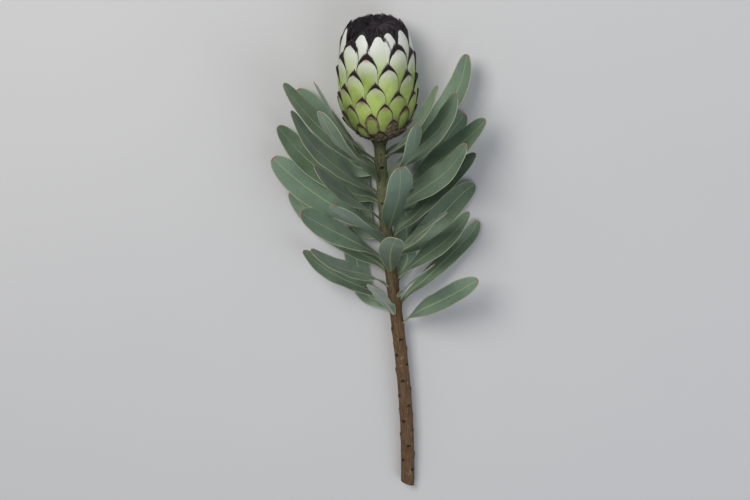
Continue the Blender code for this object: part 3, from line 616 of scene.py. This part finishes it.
# Felted scale: dead, fibrous tissue, so it is fully matt. It is dark brown in its middle and pale at its torn
# edges.
scale_look, add, link = new_material("felted protea scale", Roughness=0.9, Specular_IOR_Level=0.2,
                                     Sheen_Weight=0.25, Sheen_Roughness=0.6)
signs = add("Attribute", {"attribute_name": "scale_signs"}, {}, "Vector")
tone, edge, _ = add("SeparateXYZ", {}, [signs], None)
place = add("TexCoord", {}, {}, "Object")
felt = add("TexNoise", {}, {"Vector": place, "Scale": 900.0, "Detail": 4.0, "Roughness": 0.7})
tufts = add("MapRange", SOFT, [felt, 0.45, 0.7, 0.0, 0.7])
torn = add("MapRange", SOFT, [edge, 0.15, 0.6, 0.75, 0.0])
brown = "#3d2a22"
for mask, colour in ((tone, "#6b5140"), (tufts, "#8a7c66"), (torn, "#97907a")):
    brown = add("Mix", COLOUR, {0: mask, 6: brown, 7: colour}, 2)
link(brown, "Base Color")
relief = add("Bump", {}, {"Strength": 0.8, "Distance": 0.25 * MM, "Height": felt})
link(relief, "Normal")


def make_receptacle():
    """Thin pointed scales in the bracts' spiral, each sloping out of the swelling, on a closed core."""
    parts = [turned_body(CORE_HEIGHTS, bloom_radius(CORE_HEIGHTS) - CORE_DEPTH, CORE_SIDES)]
    signs = [np.tile([0.2, 1.0, 0.0], (len(parts[0][0]), 1))]
    rng = np.random.default_rng(SCALE_SEED)
    v = np.linspace(-1, 1, 9)
    for rank in range(FINE_SCALES):
        share = rank / (FINE_SCALES - 1)
        draw = rng.uniform(-1, 1, 4)
        tip = (between(SCALE_TIPS, share) + 0.4 * draw[0]) * MM
        length = between(SCALE_LENGTHS, share) * MM
        from_tip = length * np.linspace(1, 0, 9)[:, None] ** 1.2
        arch = np.clip(from_tip / length + 0.02, 0, 1) ** 0.42
        half = (between(SCALE_HALVES, share) + 0.3 * draw[1]) * MM * arch
        height = np.maximum(tip - from_tip, 0.1 * MM)
        lift = (0.75 + 0.35 * draw[2]) * MM * smooth(1 - from_tip / length) - 0.5 * MM * from_tip / length
        radius = bloom_radius(height) + lift - 0.35 * MM * v ** 2
        turn = (FIRST_BRACT - FINE_SCALES + rank) * GOLDEN_TURN + half * v / radius
        parts.append(thin_shell(height, radius, turn, SCALE_THICKNESS, SCALE_GAP))
        edge = np.minimum(half * (1 - np.abs(v)), from_tip) / MM
        signs.append(on_both_faces(0.5 + 0.5 * draw[3], edge, 0.0))
    make_piece("receptacle_scales", *joined(parts), scale_look, ["receptacle"], "receptacle",
               {"scale_signs": np.concatenate(signs)})


make_receptacle()

# Bracts
# Stiff, satin bracts in a spiral, each overlapping those above it. They are small and green-brown at the
# base, lime green further up, and long and white at the top. A black hairy margin outlines each tip.

CROWN_HEIGHT = 99 * MM
BRACT_ZERO_TURN = math.radians(-2)
TIP_RANKS = (-36, -21, -5, 13, 21, 30)
TIP_HEIGHTS = (16.5 * MM, 38.5 * MM, 57.5 * MM, 95.0 * MM, 110.2 * MM, 112.2 * MM)
BRACT_WIDTHS = (9.5 * MM, 13 * MM, 18 * MM, 19.5 * MM, 20 * MM, 17 * MM)
BRACT_LENGTHS = (12 * MM, 24 * MM, 40 * MM, 56 * MM, 66 * MM, 62 * MM)
BRACT_BLUNTNESS = (0.72, 0.78, 0.86, 0.82, 0.52, 0.50)  # power of the arch: the less, the rounder the tip
BRACT_FOOT = SEAM_HEIGHT + 0.9 * MM
BRACT_SHOULDER, BRACT_SLOPE = 0.84, 0.075
BRACT_PROUD, BRACT_HOLLOW, BRACT_HALF = 0.6 * MM, 0.9 * MM, 9 * MM
BRACT_THICKNESS, BRACT_GAP = 0.8 * MM, 0.5 * MM
BRACT_LIFT, BRACT_LIFTED = 0.35 * MM, 7 * MM  # at the tip, and how far down it goes
BRACT_CORE_DEPTH = 3.4 * MM
BRACT_COLUMNS = (0.0, 0.17, 0.34, 0.51, 0.67, 0.81, 0.92, 1.0)
BRACT_SEED = 23
# How the looks change up the spiral: the rank, the whiteness of the tip, and mm over which it turns green
LOOK_RANKS = (-36, -14, -4, 6, 14, 19, 24, 30)
WHITENESS = (0.05, 0.15, 0.32, 0.62, 0.92, 1.0, 1.0, 1.0)
FADE_LENGTHS = (4.0, 7.0, 11.0, 18.0, 26.0, 38.0, 48.0, 50.0)
# Painted part of the black margin at the tip in mm, and mm down the sides until it runs out
MARGIN_WIDTHS = (0.7, 1.0, 1.9, 2.3, 2.6, 2.4, 2.0, 1.8)
MARGIN_REACH = (9.0, 10.0, 12.5, 14.5, 18.0, 26.0, 30.0, 30.0)
CAP_SHARE = 0.45  # of the margin's width, for each mm that the black cap reaches down the tip
CAP_POINT, CAP_ROUND = 1.1, 1.2  # mm further down for each mm to the side, past a round middle
# The lowest bracts are brown and scurfy from their edges inwards, and most so on one side of the bloom
SCURFY_TURN = math.radians(38)
BASAL_SCALES, BASAL_SEED = 120, 61
BASAL_THICKNESS, BASAL_RISE = 0.3 * MM, 0.15 * MM
BASAL_LENGTH, BASAL_HALF = (4.6, 1.3), (1.8, 0.6)  # mm, and how far each varies


def bract_half(rank, from_tip):
    """Half width of a bract at a distance from its tip: a Gothic arch down to its shoulders."""
    width, bluntness = [np.interp(rank, TIP_RANKS, table) for table in (BRACT_WIDTHS, BRACT_BLUNTNESS)]
    rest = np.clip(1 - (from_tip / (BRACT_SHOULDER * width) + 0.012), 0, 1)
    return width / 2 * (1 - rest ** 1.8) ** bluntness


def bract_reach(rank):
    """Height of a bract's tip, and its length."""
    tip = np.interp(rank, TIP_RANKS, TIP_HEIGHTS)
    return tip, min(np.interp(rank, TIP_RANKS, BRACT_LENGTHS), tip - BRACT_FOOT)


def bract_face(rank, from_tip, v):
    """Height, radius and azimuth of a bract's face: the bloom's surface, less a slope down to its root.

    Its edges lie lower by v squared, and the last few millimetres lift a little off the bract behind.
    """
    half = bract_half(rank, from_tip)
    height = bract_reach(rank)[0] - from_tip
    radius = bloom_radius(height) + BRACT_PROUD - BRACT_SLOPE * from_tip
    radius = radius + BRACT_LIFT * (1 - smooth(from_tip / BRACT_LIFTED))
    radius = radius[..., None] - BRACT_HOLLOW * (half / BRACT_HALF)[..., None] * v ** 2
    turn = BRACT_ZERO_TURN + rank * GOLDEN_TURN + np.arcsin(np.clip(half[..., None] * v / radius, -1, 1))
    return height[..., None] + 0 * radius, radius, turn


# Bract: a firm petal-like leaf with a satin skin and fine parallel veins along it. Its green is paler over
# the veins and darker in specks. The painted margin is where the hairs stand too thick to see between.
bract_look, add, link = new_material("satin protea bract", Specular_IOR_Level=0.35, Sheen_Weight=0.1,
                                     Sheen_Roughness=0.4)
spot, signs, more = [
    add("SeparateXYZ", {}, [add("Attribute", {"attribute_name": name}, {}, "Vector")], None)
    for name in ("bract_place", "bract_signs", "bract_more")]
place = add("TexCoord", {}, {}, "Object")
lines, specks = [
    add("TexNoise", {}, {
        "Vector": add("CombineXYZ", {}, [
            add("Math", {"operation": "MULTIPLY"}, pair)
            for pair in ([spot[0], across], [spot[1], along], [more[0], shift])]),
        "Scale": 1.0, "Detail": detail, "Roughness": rough})
    for across, along, shift, detail, rough in ((1.3, 0.05, 40.0, 3.0, 0.6), (1.1, 0.35, 90.0, 1.0, 0.5))]
scurf, cloud, tufts = [
    add("TexNoise", {}, {"Vector": place, "Scale": scale, "Detail": detail, "Roughness": rough})
    for scale, detail, rough in ((620.0, 4.0, 0.7), (75.0, 2.0, 0.5), (420.0, 4.0, 0.5))]
cloud = add("Math", MULTIPLY_ADD, [more[0], 0.24, cloud])
cloud = add("MapRange", {}, [cloud, 0.38, 0.86])
lined = add("MapRange", {}, [lines, 0.35, 0.75, 0.0, 0.35])
specks = add("MapRange", SOFT, [specks, 0.68, 0.8, 0.0, 0.6])
lime = "#849c41"
for mask, colour in ((cloud, "#b4cb6c"), (lined, "#b9c583"), (specks, "#616c2c")):
    lime = add("Mix", COLOUR, {0: mask, 6: lime, 7: colour}, 2)
tufts = add("MapRange", SOFT, [tufts, 0.3, 0.7])
felt = add("Mix", COLOUR, {0: tufts, 6: "#5a4436", 7: "#8f8171"}, 2)
felted = add("Math", MULTIPLY_ADD, [more[1], 1.5, scurf])
felted = add("MapRange", SOFT, [felted, 0.95, 1.35, 0.0, 0.92])
ragged = add("Math", MULTIPLY_ADD, [lines, -1.2, spot[2]])
ragged = add("Math", {"operation": "SUBTRACT"}, [ragged, more[2]])
inked = add("MapRange", SOFT, [ragged, -0.85, -0.25, 1.0, 0.0])
skin = "#aaad8b"
for mask, colour in ((signs[0], "#dadcd8"), (signs[1], lime), (signs[2], "#9a5648"), (felted, felt),
                     (inked, "#1c151a")):
    skin = add("Mix", COLOUR, {0: mask, 6: skin, 7: colour}, 2)
link(skin, "Base Color")
rough = add("Math", {"operation": "MAXIMUM"}, [inked, more[1]])
rough = add("MapRange", {}, [rough, 0.0, 1.0, 0.42, 0.9])
link(rough, "Roughness")
relief = add("Math", MULTIPLY_ADD, [scurf, 0.3, lines])
relief = add("Bump", {}, {"Strength": 0.35, "Distance": 0.2 * MM, "Height": relief})
link(relief, "Normal")


def make_bracts():
    """Thin closed bracts, lowest first, round a green core that shows only in the deepest gaps."""
    heights = np.concatenate([[SEAM_HEIGHT + JOINT_GAP], np.linspace(12 * MM, CROWN_HEIGHT, 24)])
    parts = [turned_body(heights, bloom_radius(heights) - BRACT_CORE_DEPTH, CORE_SIDES)]
    place, signs, more = [[np.tile(values, (len(parts[0][0]), 1))]
                          for values in ((0.0, 20.0, 9.0), (0.0, 1.0, 0.0), (0.0, 0.8, 0.0))]
    v = mirrored(BRACT_COLUMNS)
    rng = np.random.default_rng(BRACT_SEED)
    for rank in range(FIRST_BRACT, LAST_BRACT + 1):
        draw = rng.uniform(-1, 1, 5)
        from_tip = bract_reach(rank)[1] * np.linspace(1, 0, 26) ** 1.55
        height, radius, turn = bract_face(rank, from_tip, v)
        parts.append(thin_shell(height, radius, turn, BRACT_THICKNESS, BRACT_GAP))
        half = bract_half(rank, from_tip)
        slope = np.hypot(1, np.gradient(half) / np.minimum(np.gradient(from_tip), -1e-6))[:, None]
        half, mm = half[:, None] / MM, from_tip[:, None] / MM
        white, fade_length, margin, reach = [np.interp(rank, LOOK_RANKS, table) for table in (
            WHITENESS, FADE_LENGTHS, MARGIN_WIDTHS, MARGIN_REACH)]
        fade = smooth((mm - 1.0) / (fade_length * (1 + 0.15 * draw[0]))) * (1 - 0.38 * np.abs(v) ** 2.5)
        margin = margin * np.clip(1 - mm / (reach * (1 + 0.12 * draw[1])), 0, 1) ** 2.2
        bare_tip = smooth((rank - 18) / 3)
        margin = margin * (1 - bare_tip * (1 - smooth(mm / 5)) * 0.9)
        aside = np.hypot(half * v, CAP_ROUND) - CAP_ROUND
        edge = half * (1 - np.abs(v)) / np.minimum(slope, 4)
        edge = -np.logaddexp(-2 * edge, -2 * CAP_SHARE * (mm - CAP_POINT * aside) - 18 * bare_tip) / 2
        blush = np.exp(-(np.maximum(mm - 2.6, 0) / 3.0) ** 2) * np.exp(-(v / 0.8) ** 2)
        blush = blush * (0.72 + 0.38 * draw[2]) * (1 - smooth((rank - 17) / 4))
        blush = blush + 0.3 * smooth((-10 - rank) / 12) * (1 - smooth(edge / 3.5))
        middle = near_zero(BRACT_ZERO_TURN + rank * GOLDEN_TURN - SCURFY_TURN)
        scurfy_side = math.exp(-(middle / 0.8) ** 2) * smooth((-15 - rank) / 8)
        brown = min(scurfy_side + 0.7 * smooth((-30 - rank) / 5), 1.0)
        low = smooth((-6 - rank) / 16 + 0.3 * math.exp(-(middle / 0.7) ** 2) * (rank < -9))
        low = low * (0.24 + 0.16 * draw[4] + 0.4 * brown + 0.74 * (1 - smooth(edge / (1.9 + 2.2 * brown))))
        place.append(on_both_faces(half * v, mm, edge))
        signs.append(on_both_faces(white, fade, blush))
        more.append(on_both_faces(0.5 + 0.5 * draw[3], low, margin))
    make_piece("bract_shells", *joined(parts), bract_look, ["bracts"], "bracts", {
        "bract_place": np.concatenate(place), "bract_signs": np.concatenate(signs),
        "bract_more": np.concatenate(more)})


make_bracts()


def make_basal_scales():
    """Small torn scales over the lowest bracts on the scurfy side, like tiles whose lower ends lie on top.

    Their places are distances along the bloom's outline, from the seam up to a bell curve round the side.
    """
    heights = np.linspace(0.6, 30, 150) * MM
    radii = bloom_radius(heights)
    along = np.concatenate([[0], np.cumsum(np.hypot(np.diff(heights), np.diff(radii)))])
    rng = np.random.default_rng(BASAL_SEED)
    parts, signs = [], []
    v = np.linspace(-1, 1, 7)
    for share in np.linspace(1, 0, BASAL_SCALES):
        draw = rng.uniform(-1, 1, 5)
        around = rng.normal(-0.08, 0.5)
        top = along[-1] * (0.14 + 0.62 * share ** 0.6 * math.exp(-(around / 0.62) ** 2) + 0.05 * draw[0])
        length = (BASAL_LENGTH[0] + BASAL_LENGTH[1] * draw[1]) * MM
        from_tip = length * np.linspace(1, 0, 8)[:, None] ** 1.2
        arch = np.clip(from_tip / length + 0.03, 0, 1) ** 0.55
        half = (BASAL_HALF[0] + BASAL_HALF[1] * draw[2]) * MM * arch
        place = np.maximum(top - from_tip, 0)
        lift = (0.8 - 0.3 * share + 0.2 * draw[3]) * MM * smooth(1 - 0.9 * from_tip / length)
        radius = np.interp(place, along, radii) + lift - 0.45 * MM * v ** 2
        radius = radius + 0.8 * MM * smooth((place - 8 * MM) / (8 * MM))
        turn = SCURFY_TURN + around + (half * v + 0.25 * draw[4] * from_tip) / radius
        height = np.interp(place, along, heights) - 0.4 * lift
        parts.append(thin_shell(height, radius, turn, BASAL_THICKNESS, SCALE_GAP, BASAL_RISE))
        edge = 1.5 * np.minimum(half * (1 - np.abs(v)), from_tip) / MM + 0.25 + 0.3 * (draw[1] > 0)
        signs.append(on_both_faces(0.3 + 0.7 * draw[0], edge, 0.0))
    marks = {"scale_signs": np.concatenate(signs)}
    make_piece("basal_scales", *joined(parts), scale_look, [], "bracts", marks)


make_basal_scales()

# Fringes
# Soft black hairs along the margin of every bract, densest at its tip. Low on the bloom they are short,
# brown and few. On the upper bracts they are long and lie in black rays that run up into the crown.

# At the ranks of LOOK_RANKS: how many hairs a bract has, and mm of its longest
FRINGE_HAIRS = (100, 170, 460, 600, 950, 1200, 1100, 1000)
FRINGE_LENGTHS = (0.9, 1.4, 3.2, 3.8, 4.9, 5.2, 4.8, 4.2)
FRINGE_FALL = (2.8, 2.8, 2.8, 2.4, 1.4, 0.9, 0.7, 0.7)  # power by which the hairs shorten down the sides
FRINGE_SPREAD = (10, 10, 10, 14, 27, 33, 33, 33)  # degrees outwards from the bract's edge
HAIR_WIDTH = 0.28 * MM
HAIR_DROP = 2.4 * MM  # at most, from a bract's edge down to the face behind it
HAIR_CLEAR = 0.2 * MM  # over the face that it lies on
HAIR_DEPTH, HAIR_RISE = 0.1 * MM, 0.4 * MM  # of its root under the bract's face, and of its tip above
HAIR_COVER = 1.2 * MM  # inside an outer bract's outline, past which a hair is left out
FIRST_LONG_FRINGE = 8

# Bract hair: a soft black keratin-like fibre, faintly plum, that is browner where it is short and dry.
# Real hairs are 0.05 mm thick. These are about five times as thick, because thinner ones don't show.
hair_look, add, link = new_material("black protea hair", Roughness=0.6, Specular_IOR_Level=0.3,
                                    Sheen_Weight=0.15, Sheen_Roughness=0.4)
signs = add("Attribute", {"attribute_name": "hair_signs"}, {}, "Vector")
fibre = "#18141a"
for mask, colour in zip(add("SeparateXYZ", {}, [signs], None), ("#372c39", "#5a4638", "#5b2b22")):
    fibre = add("Mix", COLOUR, {0: mask, 6: fibre, 7: colour}, 2)
link(fibre, "Base Color")
place = add("TexCoord", {}, {}, "Object")
relief = add("TexNoise", {}, {"Vector": place, "Scale": 1500.0, "Detail": 2.0})
relief = add("Bump", {}, {"Strength": 0.5, "Distance": 0.2 * MM, "Height": relief})
link(relief, "Normal")


def bracts_at(ranks, height, turn):
    """How far spots lie inside the outlines of some bracts, and the least and most radius of their faces."""
    inside, least, most = np.full(len(height), -1.0), np.full(len(height), 1.0), np.zeros(len(height))
    for rank in ranks:
        tip, length = bract_reach(rank)
        from_tip = np.clip(tip - height, 0, length)
        half = bract_half(rank, from_tip)
        radius = bract_face(rank, from_tip, np.zeros(1))[1][:, 0]
        away = np.abs(near_zero(turn - BRACT_ZERO_TURN - rank * GOLDEN_TURN)) * radius
        depth = np.where((height < tip) & (height > tip - length), half - away, -1.0)
        radius = radius - BRACT_HOLLOW * half / BRACT_HALF * np.minimum(away / half, 1) ** 2
        least = np.where(depth > 0, np.minimum(least, radius), least)
        most = np.where(depth > 0, np.maximum(most, radius), most)
        inside = np.maximum(inside, depth)
    return inside, least, most


def fringe_hairs(rank, rng):
    """Roots on a bract's margin, thick at its tip, and tips further on over the bloom's surface.

    A hair leaves its root between the bract's heading and straight out from its edge, and lies down on the
    bract behind. It passes under the outer bracts, and those rooted deep under one are left out.
    """
    number, reach, longest, fall, spread, band = [np.interp(rank, LOOK_RANKS, table) for table in (
        FRINGE_HAIRS, MARGIN_REACH, FRINGE_LENGTHS, FRINGE_FALL, FRINGE_SPREAD, MARGIN_WIDTHS)]
    count = int(number)
    down = rng.uniform(0, 1, count) ** (0.8 + 0.4 * fall)
    side = np.where(rng.uniform(0, 1, count) < 0.5, -1.0, 1.0)
    from_tip = reach * MM * down
    half = bract_half(rank, from_tip)
    inset = rng.uniform(0, 1, count) ** 1.6 * np.clip(0.9 * band * (1 - down) ** 2.2 * MM / half, 0.03, 0.8)
    height, radius, turn = [grid[:, 0] for grid in bract_face(rank, from_tip, (side * (1 - inset))[:, None])]
    narrowing = (bract_half(rank, from_tip + 0.2 * MM) - half) / (0.2 * MM)
    length = longest * MM * (0.16 + 0.84 * (1 - down) ** fall) * rng.uniform(0.6, 1.1, count)
    length = length * (1 - 0.45 * inset)
    outward = np.radians(spread * smooth(down * 4) + rng.normal(0, 8, count)) - 0.75 * np.arctan(narrowing)
    outward = outward * side * (1 - inset)
    lift = np.radians(np.clip(rng.normal(4, 4, count), 0, 16))
    tip_height = height + length * np.cos(outward) * np.cos(lift)
    sideways = np.maximum(side * length * np.sin(outward), -half * (1 - inset) - 0.25 * MM) * side
    tip_turn = turn + sideways / np.maximum(radius, 8 * MM)
    past = height + from_tip - tip_height
    aside = np.abs(tip_turn - BRACT_ZERO_TURN - rank * GOLDEN_TURN) * radius
    beyond = (past < 0) | (aside > bract_half(rank, np.maximum(past, 0)))
    drop = HAIR_DROP * (1 - smooth((rank - 20) / 6)) * beyond
    over = bloom_radius(np.minimum(tip_height, BLOOM_LENGTH - MM)) + BRACT_PROUD + HAIR_CLEAR - drop
    behind = bracts_at(range(rank + 1, LAST_BRACT + 1), tip_height, tip_turn)[2] + HAIR_CLEAR
    tip_radius = np.maximum(np.minimum(over, radius + HAIR_RISE), behind) + length * np.sin(lift)
    outer = range(FIRST_BRACT, rank)
    kept = bracts_at(outer, height, turn)[0] < HAIR_COVER
    tip_radius = np.minimum(tip_radius, bracts_at(outer, tip_height, tip_turn)[1] - BRACT_THICKNESS)
    roots = bloom_point(height, radius - HAIR_DEPTH, turn)
    tips = bloom_point(tip_height, tip_radius, tip_turn)
    for ends in (roots, tips):
        ends[:, 2] = np.maximum(ends[:, 2], 0.2 * MM)
    low = smooth((-6 - rank) / 20) * rng.uniform(0.4, 1.0, count)
    rust = (from_tip < 2 * MM) * rng.uniform(-0.6, 0.8, count).clip(0, 1) * (rank < 20)
    hairs = (roots, tips, HAIR_WIDTH * rng.uniform(0.75, 1.25, count), rng.uniform(0, 1, count), low, rust)
    return [values[kept] for values in hairs]


def make_fringes(name, ranks, seed):
    """Closed spikes for every hair of these bracts."""
    rng = np.random.default_rng(seed)
    hairs = zip(*[fringe_hairs(rank, rng) for rank in ranks])
    roots, tips, widths, tone, low, rust = [np.concatenate(values) for values in hairs]
    points, faces = spikes(roots, tips, widths)
    rust = rust[:, None] * np.array([1, 1, 1, 0])  # at the root only
    marks = np.stack([np.repeat(tone, 4), np.repeat(low, 4), rust.ravel()], axis=-1)
    make_piece(name, points, [faces], hair_look, [], "crown_beard", {"hair_signs": marks})


make_fringes("lower_fringes", range(FIRST_BRACT, FIRST_LONG_FRINGE), 31)
make_fringes("upper_fringes", range(FIRST_LONG_FRINGE, LAST_BRACT + 1), 32)

# Crown beard
# The innermost bracts end in thick black fur that closes over the mouth of the bloom. It lies in pointed
# locks that sweep up and inwards, and stands highest in a ring with a hollow in the middle.

LOCKS, HAIRS_IN_LOCK = 150, 80
CROWN_SEED = 41
LOCK_PLACES, LOCK_LENGTHS = (2.0, 27.5), (7.6, 4.2)  # mm, of the lowest lock and the last in the hollow
CROWN_FOOT, CROWN_DEPTH = np.array([99.35, 103.0, 107.0, 110.5]) * MM, 3.6 * MM
CROWN_TOP_HEIGHTS = np.array([112.4, 113.4, 112.8, 110.8, 106.5]) * MM
CROWN_TOP_RADII = np.array([18.6, 14.4, 10.6, 8.0, 6.7]) * MM
CROWN_HAIR_WIDTH = 0.34 * MM


def make_crown():
    """A turned body under locks of bent spikes. All the hairs of a lock lean together towards its tip.

    Places are distances along the body's outline, from its foot over the ring into the hollow.
    """
    heights = np.concatenate([CROWN_FOOT, CROWN_TOP_HEIGHTS])
    radii = np.concatenate([bloom_radius(CROWN_FOOT) - CROWN_DEPTH, CROWN_TOP_RADII])
    along = np.concatenate([[0], np.cumsum(np.hypot(np.diff(heights), np.diff(radii)))])
    fine = np.linspace(0, along[-1], 34)
    body = turned_body(np.interp(fine, along, heights), np.interp(fine, along, radii), 72)
    rng = np.random.default_rng(CROWN_SEED)
    rank = np.arange(LOCKS)
    share = (rank + 0.5) / LOCKS
    lock_along = (between(LOCK_PLACES, share) + rng.uniform(-1, 1, LOCKS)) * MM
    lock_turn = rank * GOLDEN_TURN + rng.normal(0, 0.08, LOCKS)
    lock_length = between(LOCK_LENGTHS, share) * rng.uniform(0.8, 1.2, LOCKS) * MM
    lock_lift = np.radians(11 + 7 * np.sin(math.pi * share) + rng.normal(0, 5, LOCKS))
    lock_swing = rng.normal(0, 0.9, LOCKS) * MM
    which = np.repeat(rank, HAIRS_IN_LOCK)
    spread = rng.normal(0, 1.25 * MM, (2, len(which)))
    root_along = np.clip(lock_along[which] + spread[0], 0, along[-1])
    root_radius = np.maximum(np.interp(root_along, along, radii), 6 * MM)
    turn = lock_turn[which] + spread[1] / root_radius
    length = lock_length[which] * rng.uniform(0.65, 1.08, len(which))
    lift = lock_lift[which] + rng.normal(0, 0.10, len(which))
    gather = -0.8 * spread[1] + lock_swing[which] + rng.normal(0, 0.35 * MM, len(which))

    def reached(part, raised):
        """Point a part of the hair's length on along the outline, raised off it square to it."""
        place = np.minimum(root_along + part * length * np.cos(raised), along[-1])
        off = part * length * np.sin(raised) - 0.2 * MM * (part == 0)
        ahead_h, ahead_r = [np.interp(place + MM, along, table) - np.interp(place - MM, along, table)
                            for table in (heights, radii)]
        size = np.hypot(ahead_h, ahead_r)
        height = np.interp(place, along, heights) - off * ahead_r / size
        radius = np.interp(place, along, radii) + off * ahead_h / size
        return bloom_point(height, np.maximum(radius, 0.5 * MM), turn + part * gather / root_radius)

    roots, tips, bends = reached(0, lift), reached(1.0, lift), reached(0.5, lift * 1.35)
    points, faces = spikes(roots, tips, np.full(len(which), CROWN_HAIR_WIDTH), bends)
    tone = np.concatenate([np.full(len(body[0]), 0.2), np.repeat(rng.uniform(0, 1, len(which)), 7)])
    marks = np.stack([tone, 0 * tone, 0 * tone], axis=-1)
    make_piece("crown_fur", *joined([body, (points, [faces])]), hair_look, ["crown_beard"], "crown_beard",
               {"hair_signs": marks})


make_crown()

# Floret tips
# The silky ends of the closed florets inside the bloom. They just show as a dark plum tuft in the
# hollow of the beard, and are packed upright.

FLORETS, FLORET_HAIRS = 30, 26
FLORET_SEED = 51
FLORET_FOOT, FLORET_REACH = 108 * MM, 5.0 * MM
FLORET_TOPS = (113.4, 111.8)  # mm, in the middle and at the rim
FLORET_STEPS = np.array([0.0, 0.35, 0.7, 0.9, 1.0])
FLORET_RADII = np.array([0.75, 0.8, 0.7, 0.4, 0.05]) * MM
FLORET_SIDES = 8
FLORET_BASE_HEIGHTS, FLORET_BASE_RADII = np.array([[106.9, 107.4, 108.4, 109.0], [5.6, 5.9, 5.6, 1.0]]) * MM
SILK_WIDTH = 0.2 * MM

# Floret silk: straight fine hairs on the floret's tip, plum brown with a soft gloss.
floret_look, add, link = new_material("silky floret tip", Roughness=0.5, Specular_IOR_Level=0.4,
                                      Sheen_Weight=0.3, Sheen_Roughness=0.4)
tone = add("Attribute", {"attribute_name": "floret_tone"}, {}, "Fac")
plum = add("Mix", COLOUR, {0: tone, 6: "#1f161c", 7: "#453540"}, 2)
link(plum, "Base Color")


def make_florets():
    """Slim tapering columns with tufts of spikes in a sunflower spiral: radius goes as the root of rank."""
    base = turned_body(FLORET_BASE_HEIGHTS, FLORET_BASE_RADII, 36)
    rng = np.random.default_rng(FLORET_SEED)
    rank = np.arange(FLORETS)
    share = (rank + 0.5) / FLORETS
    centre, turn = FLORET_REACH * np.sqrt(share), rank * GOLDEN_TURN
    _, _, up, side = shoot_frame(STEM_LENGTH)
    sides = np.linspace(0, 2 * math.pi, FLORET_SIDES, endpoint=False)[:, None]
    ring = up * np.cos(sides) + side * np.sin(sides)
    top = (between(FLORET_TOPS, share) + rng.uniform(-0.5, 0.5, FLORETS)) * MM
    heights = FLORET_FOOT + (top - FLORET_FOOT)[:, None] * FLORET_STEPS
    middles = bloom_point(heights, centre[:, None] * (1 + 0.1 * FLORET_STEPS), turn[:, None])
    columns = (middles[:, :, None] + FLORET_RADII[:, None, None] * ring).reshape(-1, 3)
    size = len(FLORET_STEPS) * FLORET_SIDES
    column_faces = [faces for k in rank for faces in tube_faces(len(FLORET_STEPS), FLORET_SIDES, size * k)]
    which = np.repeat(rank, FLORET_HAIRS)
    around = rng.uniform(0, 2 * math.pi, len(which))[:, None]
    out = up * np.cos(around) + side * np.sin(around)
    low = rng.uniform(0.45, 0.9, len(which))
    height = FLORET_FOOT + (top[which] - FLORET_FOOT) * low
    root = bloom_point(height, centre[which] * (1 + 0.1 * low), turn[which])
    ahead = shoot_frame(STEM_LENGTH + 110 * MM)[1]
    tips = root + out * rng.uniform(0.5, 1.2, len(which))[:, None] * MM
    tips = tips + ahead * rng.uniform(1.6, 2.8, len(which))[:, None] * MM
    hairs, hair_faces = spikes(root + out * 0.45 * MM, tips, np.full(len(which), SILK_WIDTH))
    tone = np.concatenate([np.full(len(base[0]), 0.1), np.repeat(rng.uniform(0.2, 0.7, FLORETS), size),
                           np.repeat(rng.uniform(0.3, 1.0, len(which)), 4)])
    make_piece("floret_silk", *joined([base, (columns, column_faces), (hairs, [hair_faces])]), floret_look,
               ["floret_tips"], "floret_tips", {"floret_tone": tone})


make_florets()

# Floor, light and camera
# A plain pale surface, one large soft light from ahead of the bloom and above, as in a studio, and a weak
# fill. The camera looks down at the angle from which the photograph sees the bloom.

FLOOR_HALF = 4.0
AIM, CAMERA_PLACE, CAMERA_ROLL = (0.0, 0.016, 0.03), (0.0, 0.66, 1.80), math.radians(2)
CAMERA_LENS, CAMERA_SENSOR = 94, 36

# Matt board: nearly white, with a faint cloudiness of its surface.
floor_look, add, link = new_material("pale matt board", Roughness=0.85, Specular_IOR_Level=0.2)
place = add("TexCoord", {}, {}, "Object")
grain = add("TexNoise", {}, {"Vector": place, "Scale": 3.0, "Detail": 2.0})
board = add("Mix", COLOUR, {0: grain, 6: "#c9cacd", 7: "#cfd0d2"}, 2)
link(board, "Base Color")
floor = bpy.data.meshes.new("floor")
corners = [(x * FLOOR_HALF, y * FLOOR_HALF, 0) for x, y in ((-1, -1), (1, -1), (1, 1), (-1, 1))]
floor.from_pydata(corners, [], [(0, 1, 2, 3)])
floor.materials.append(floor_look)
put_in_scene("floor", floor)


def look_at(thing, place, target, roll=0.0):
    """Turns a thing so that its -Z axis points at the target and its +Y axis upwards, but for a roll."""
    back = unit(np.array(place) - np.array(target))
    right = unit(np.cross((-math.sin(roll), math.cos(roll), 0.0), back))
    up = np.cross(back, right)
    rows = [(right[i], up[i], back[i], place[i]) for i in range(3)]
    thing.matrix_world = mathutils.Matrix(rows + [(0, 0, 0, 1)])


def add_lamp(name, place, target, size, power, colour):
    lamp = bpy.data.lights.new(name, "AREA")
    lamp.size = size
    lamp.energy = power
    lamp.color = linear(colour)[:3]
    look_at(put_in_scene(name, lamp), place, target)


add_lamp("key_softbox", (-0.75, 1.15, 1.75), (0.0, 0.10, 0.03), 0.9, 29.0, "#fffaf2")
add_lamp("fill_softbox", (1.1, -0.5, 1.6), (0.0, 0.0, 0.03), 1.4, 9.0, "#f4f8ff")
world = bpy.data.worlds.new("studio")
world.use_nodes = True
sky = world.node_tree.nodes["Background"].inputs
sky["Color"].default_value = linear("#e8ebef")
sky["Strength"].default_value = 0.40
bpy.context.scene.world = world
camera = bpy.data.cameras.new("camera")
camera.lens = CAMERA_LENS
camera.sensor_width = CAMERA_SENSOR
camera = put_in_scene("camera", camera)
look_at(camera, CAMERA_PLACE, AIM, CAMERA_ROLL)
bpy.context.scene.camera = camera
bpy.context.scene.view_settings.view_transform = "Standard"
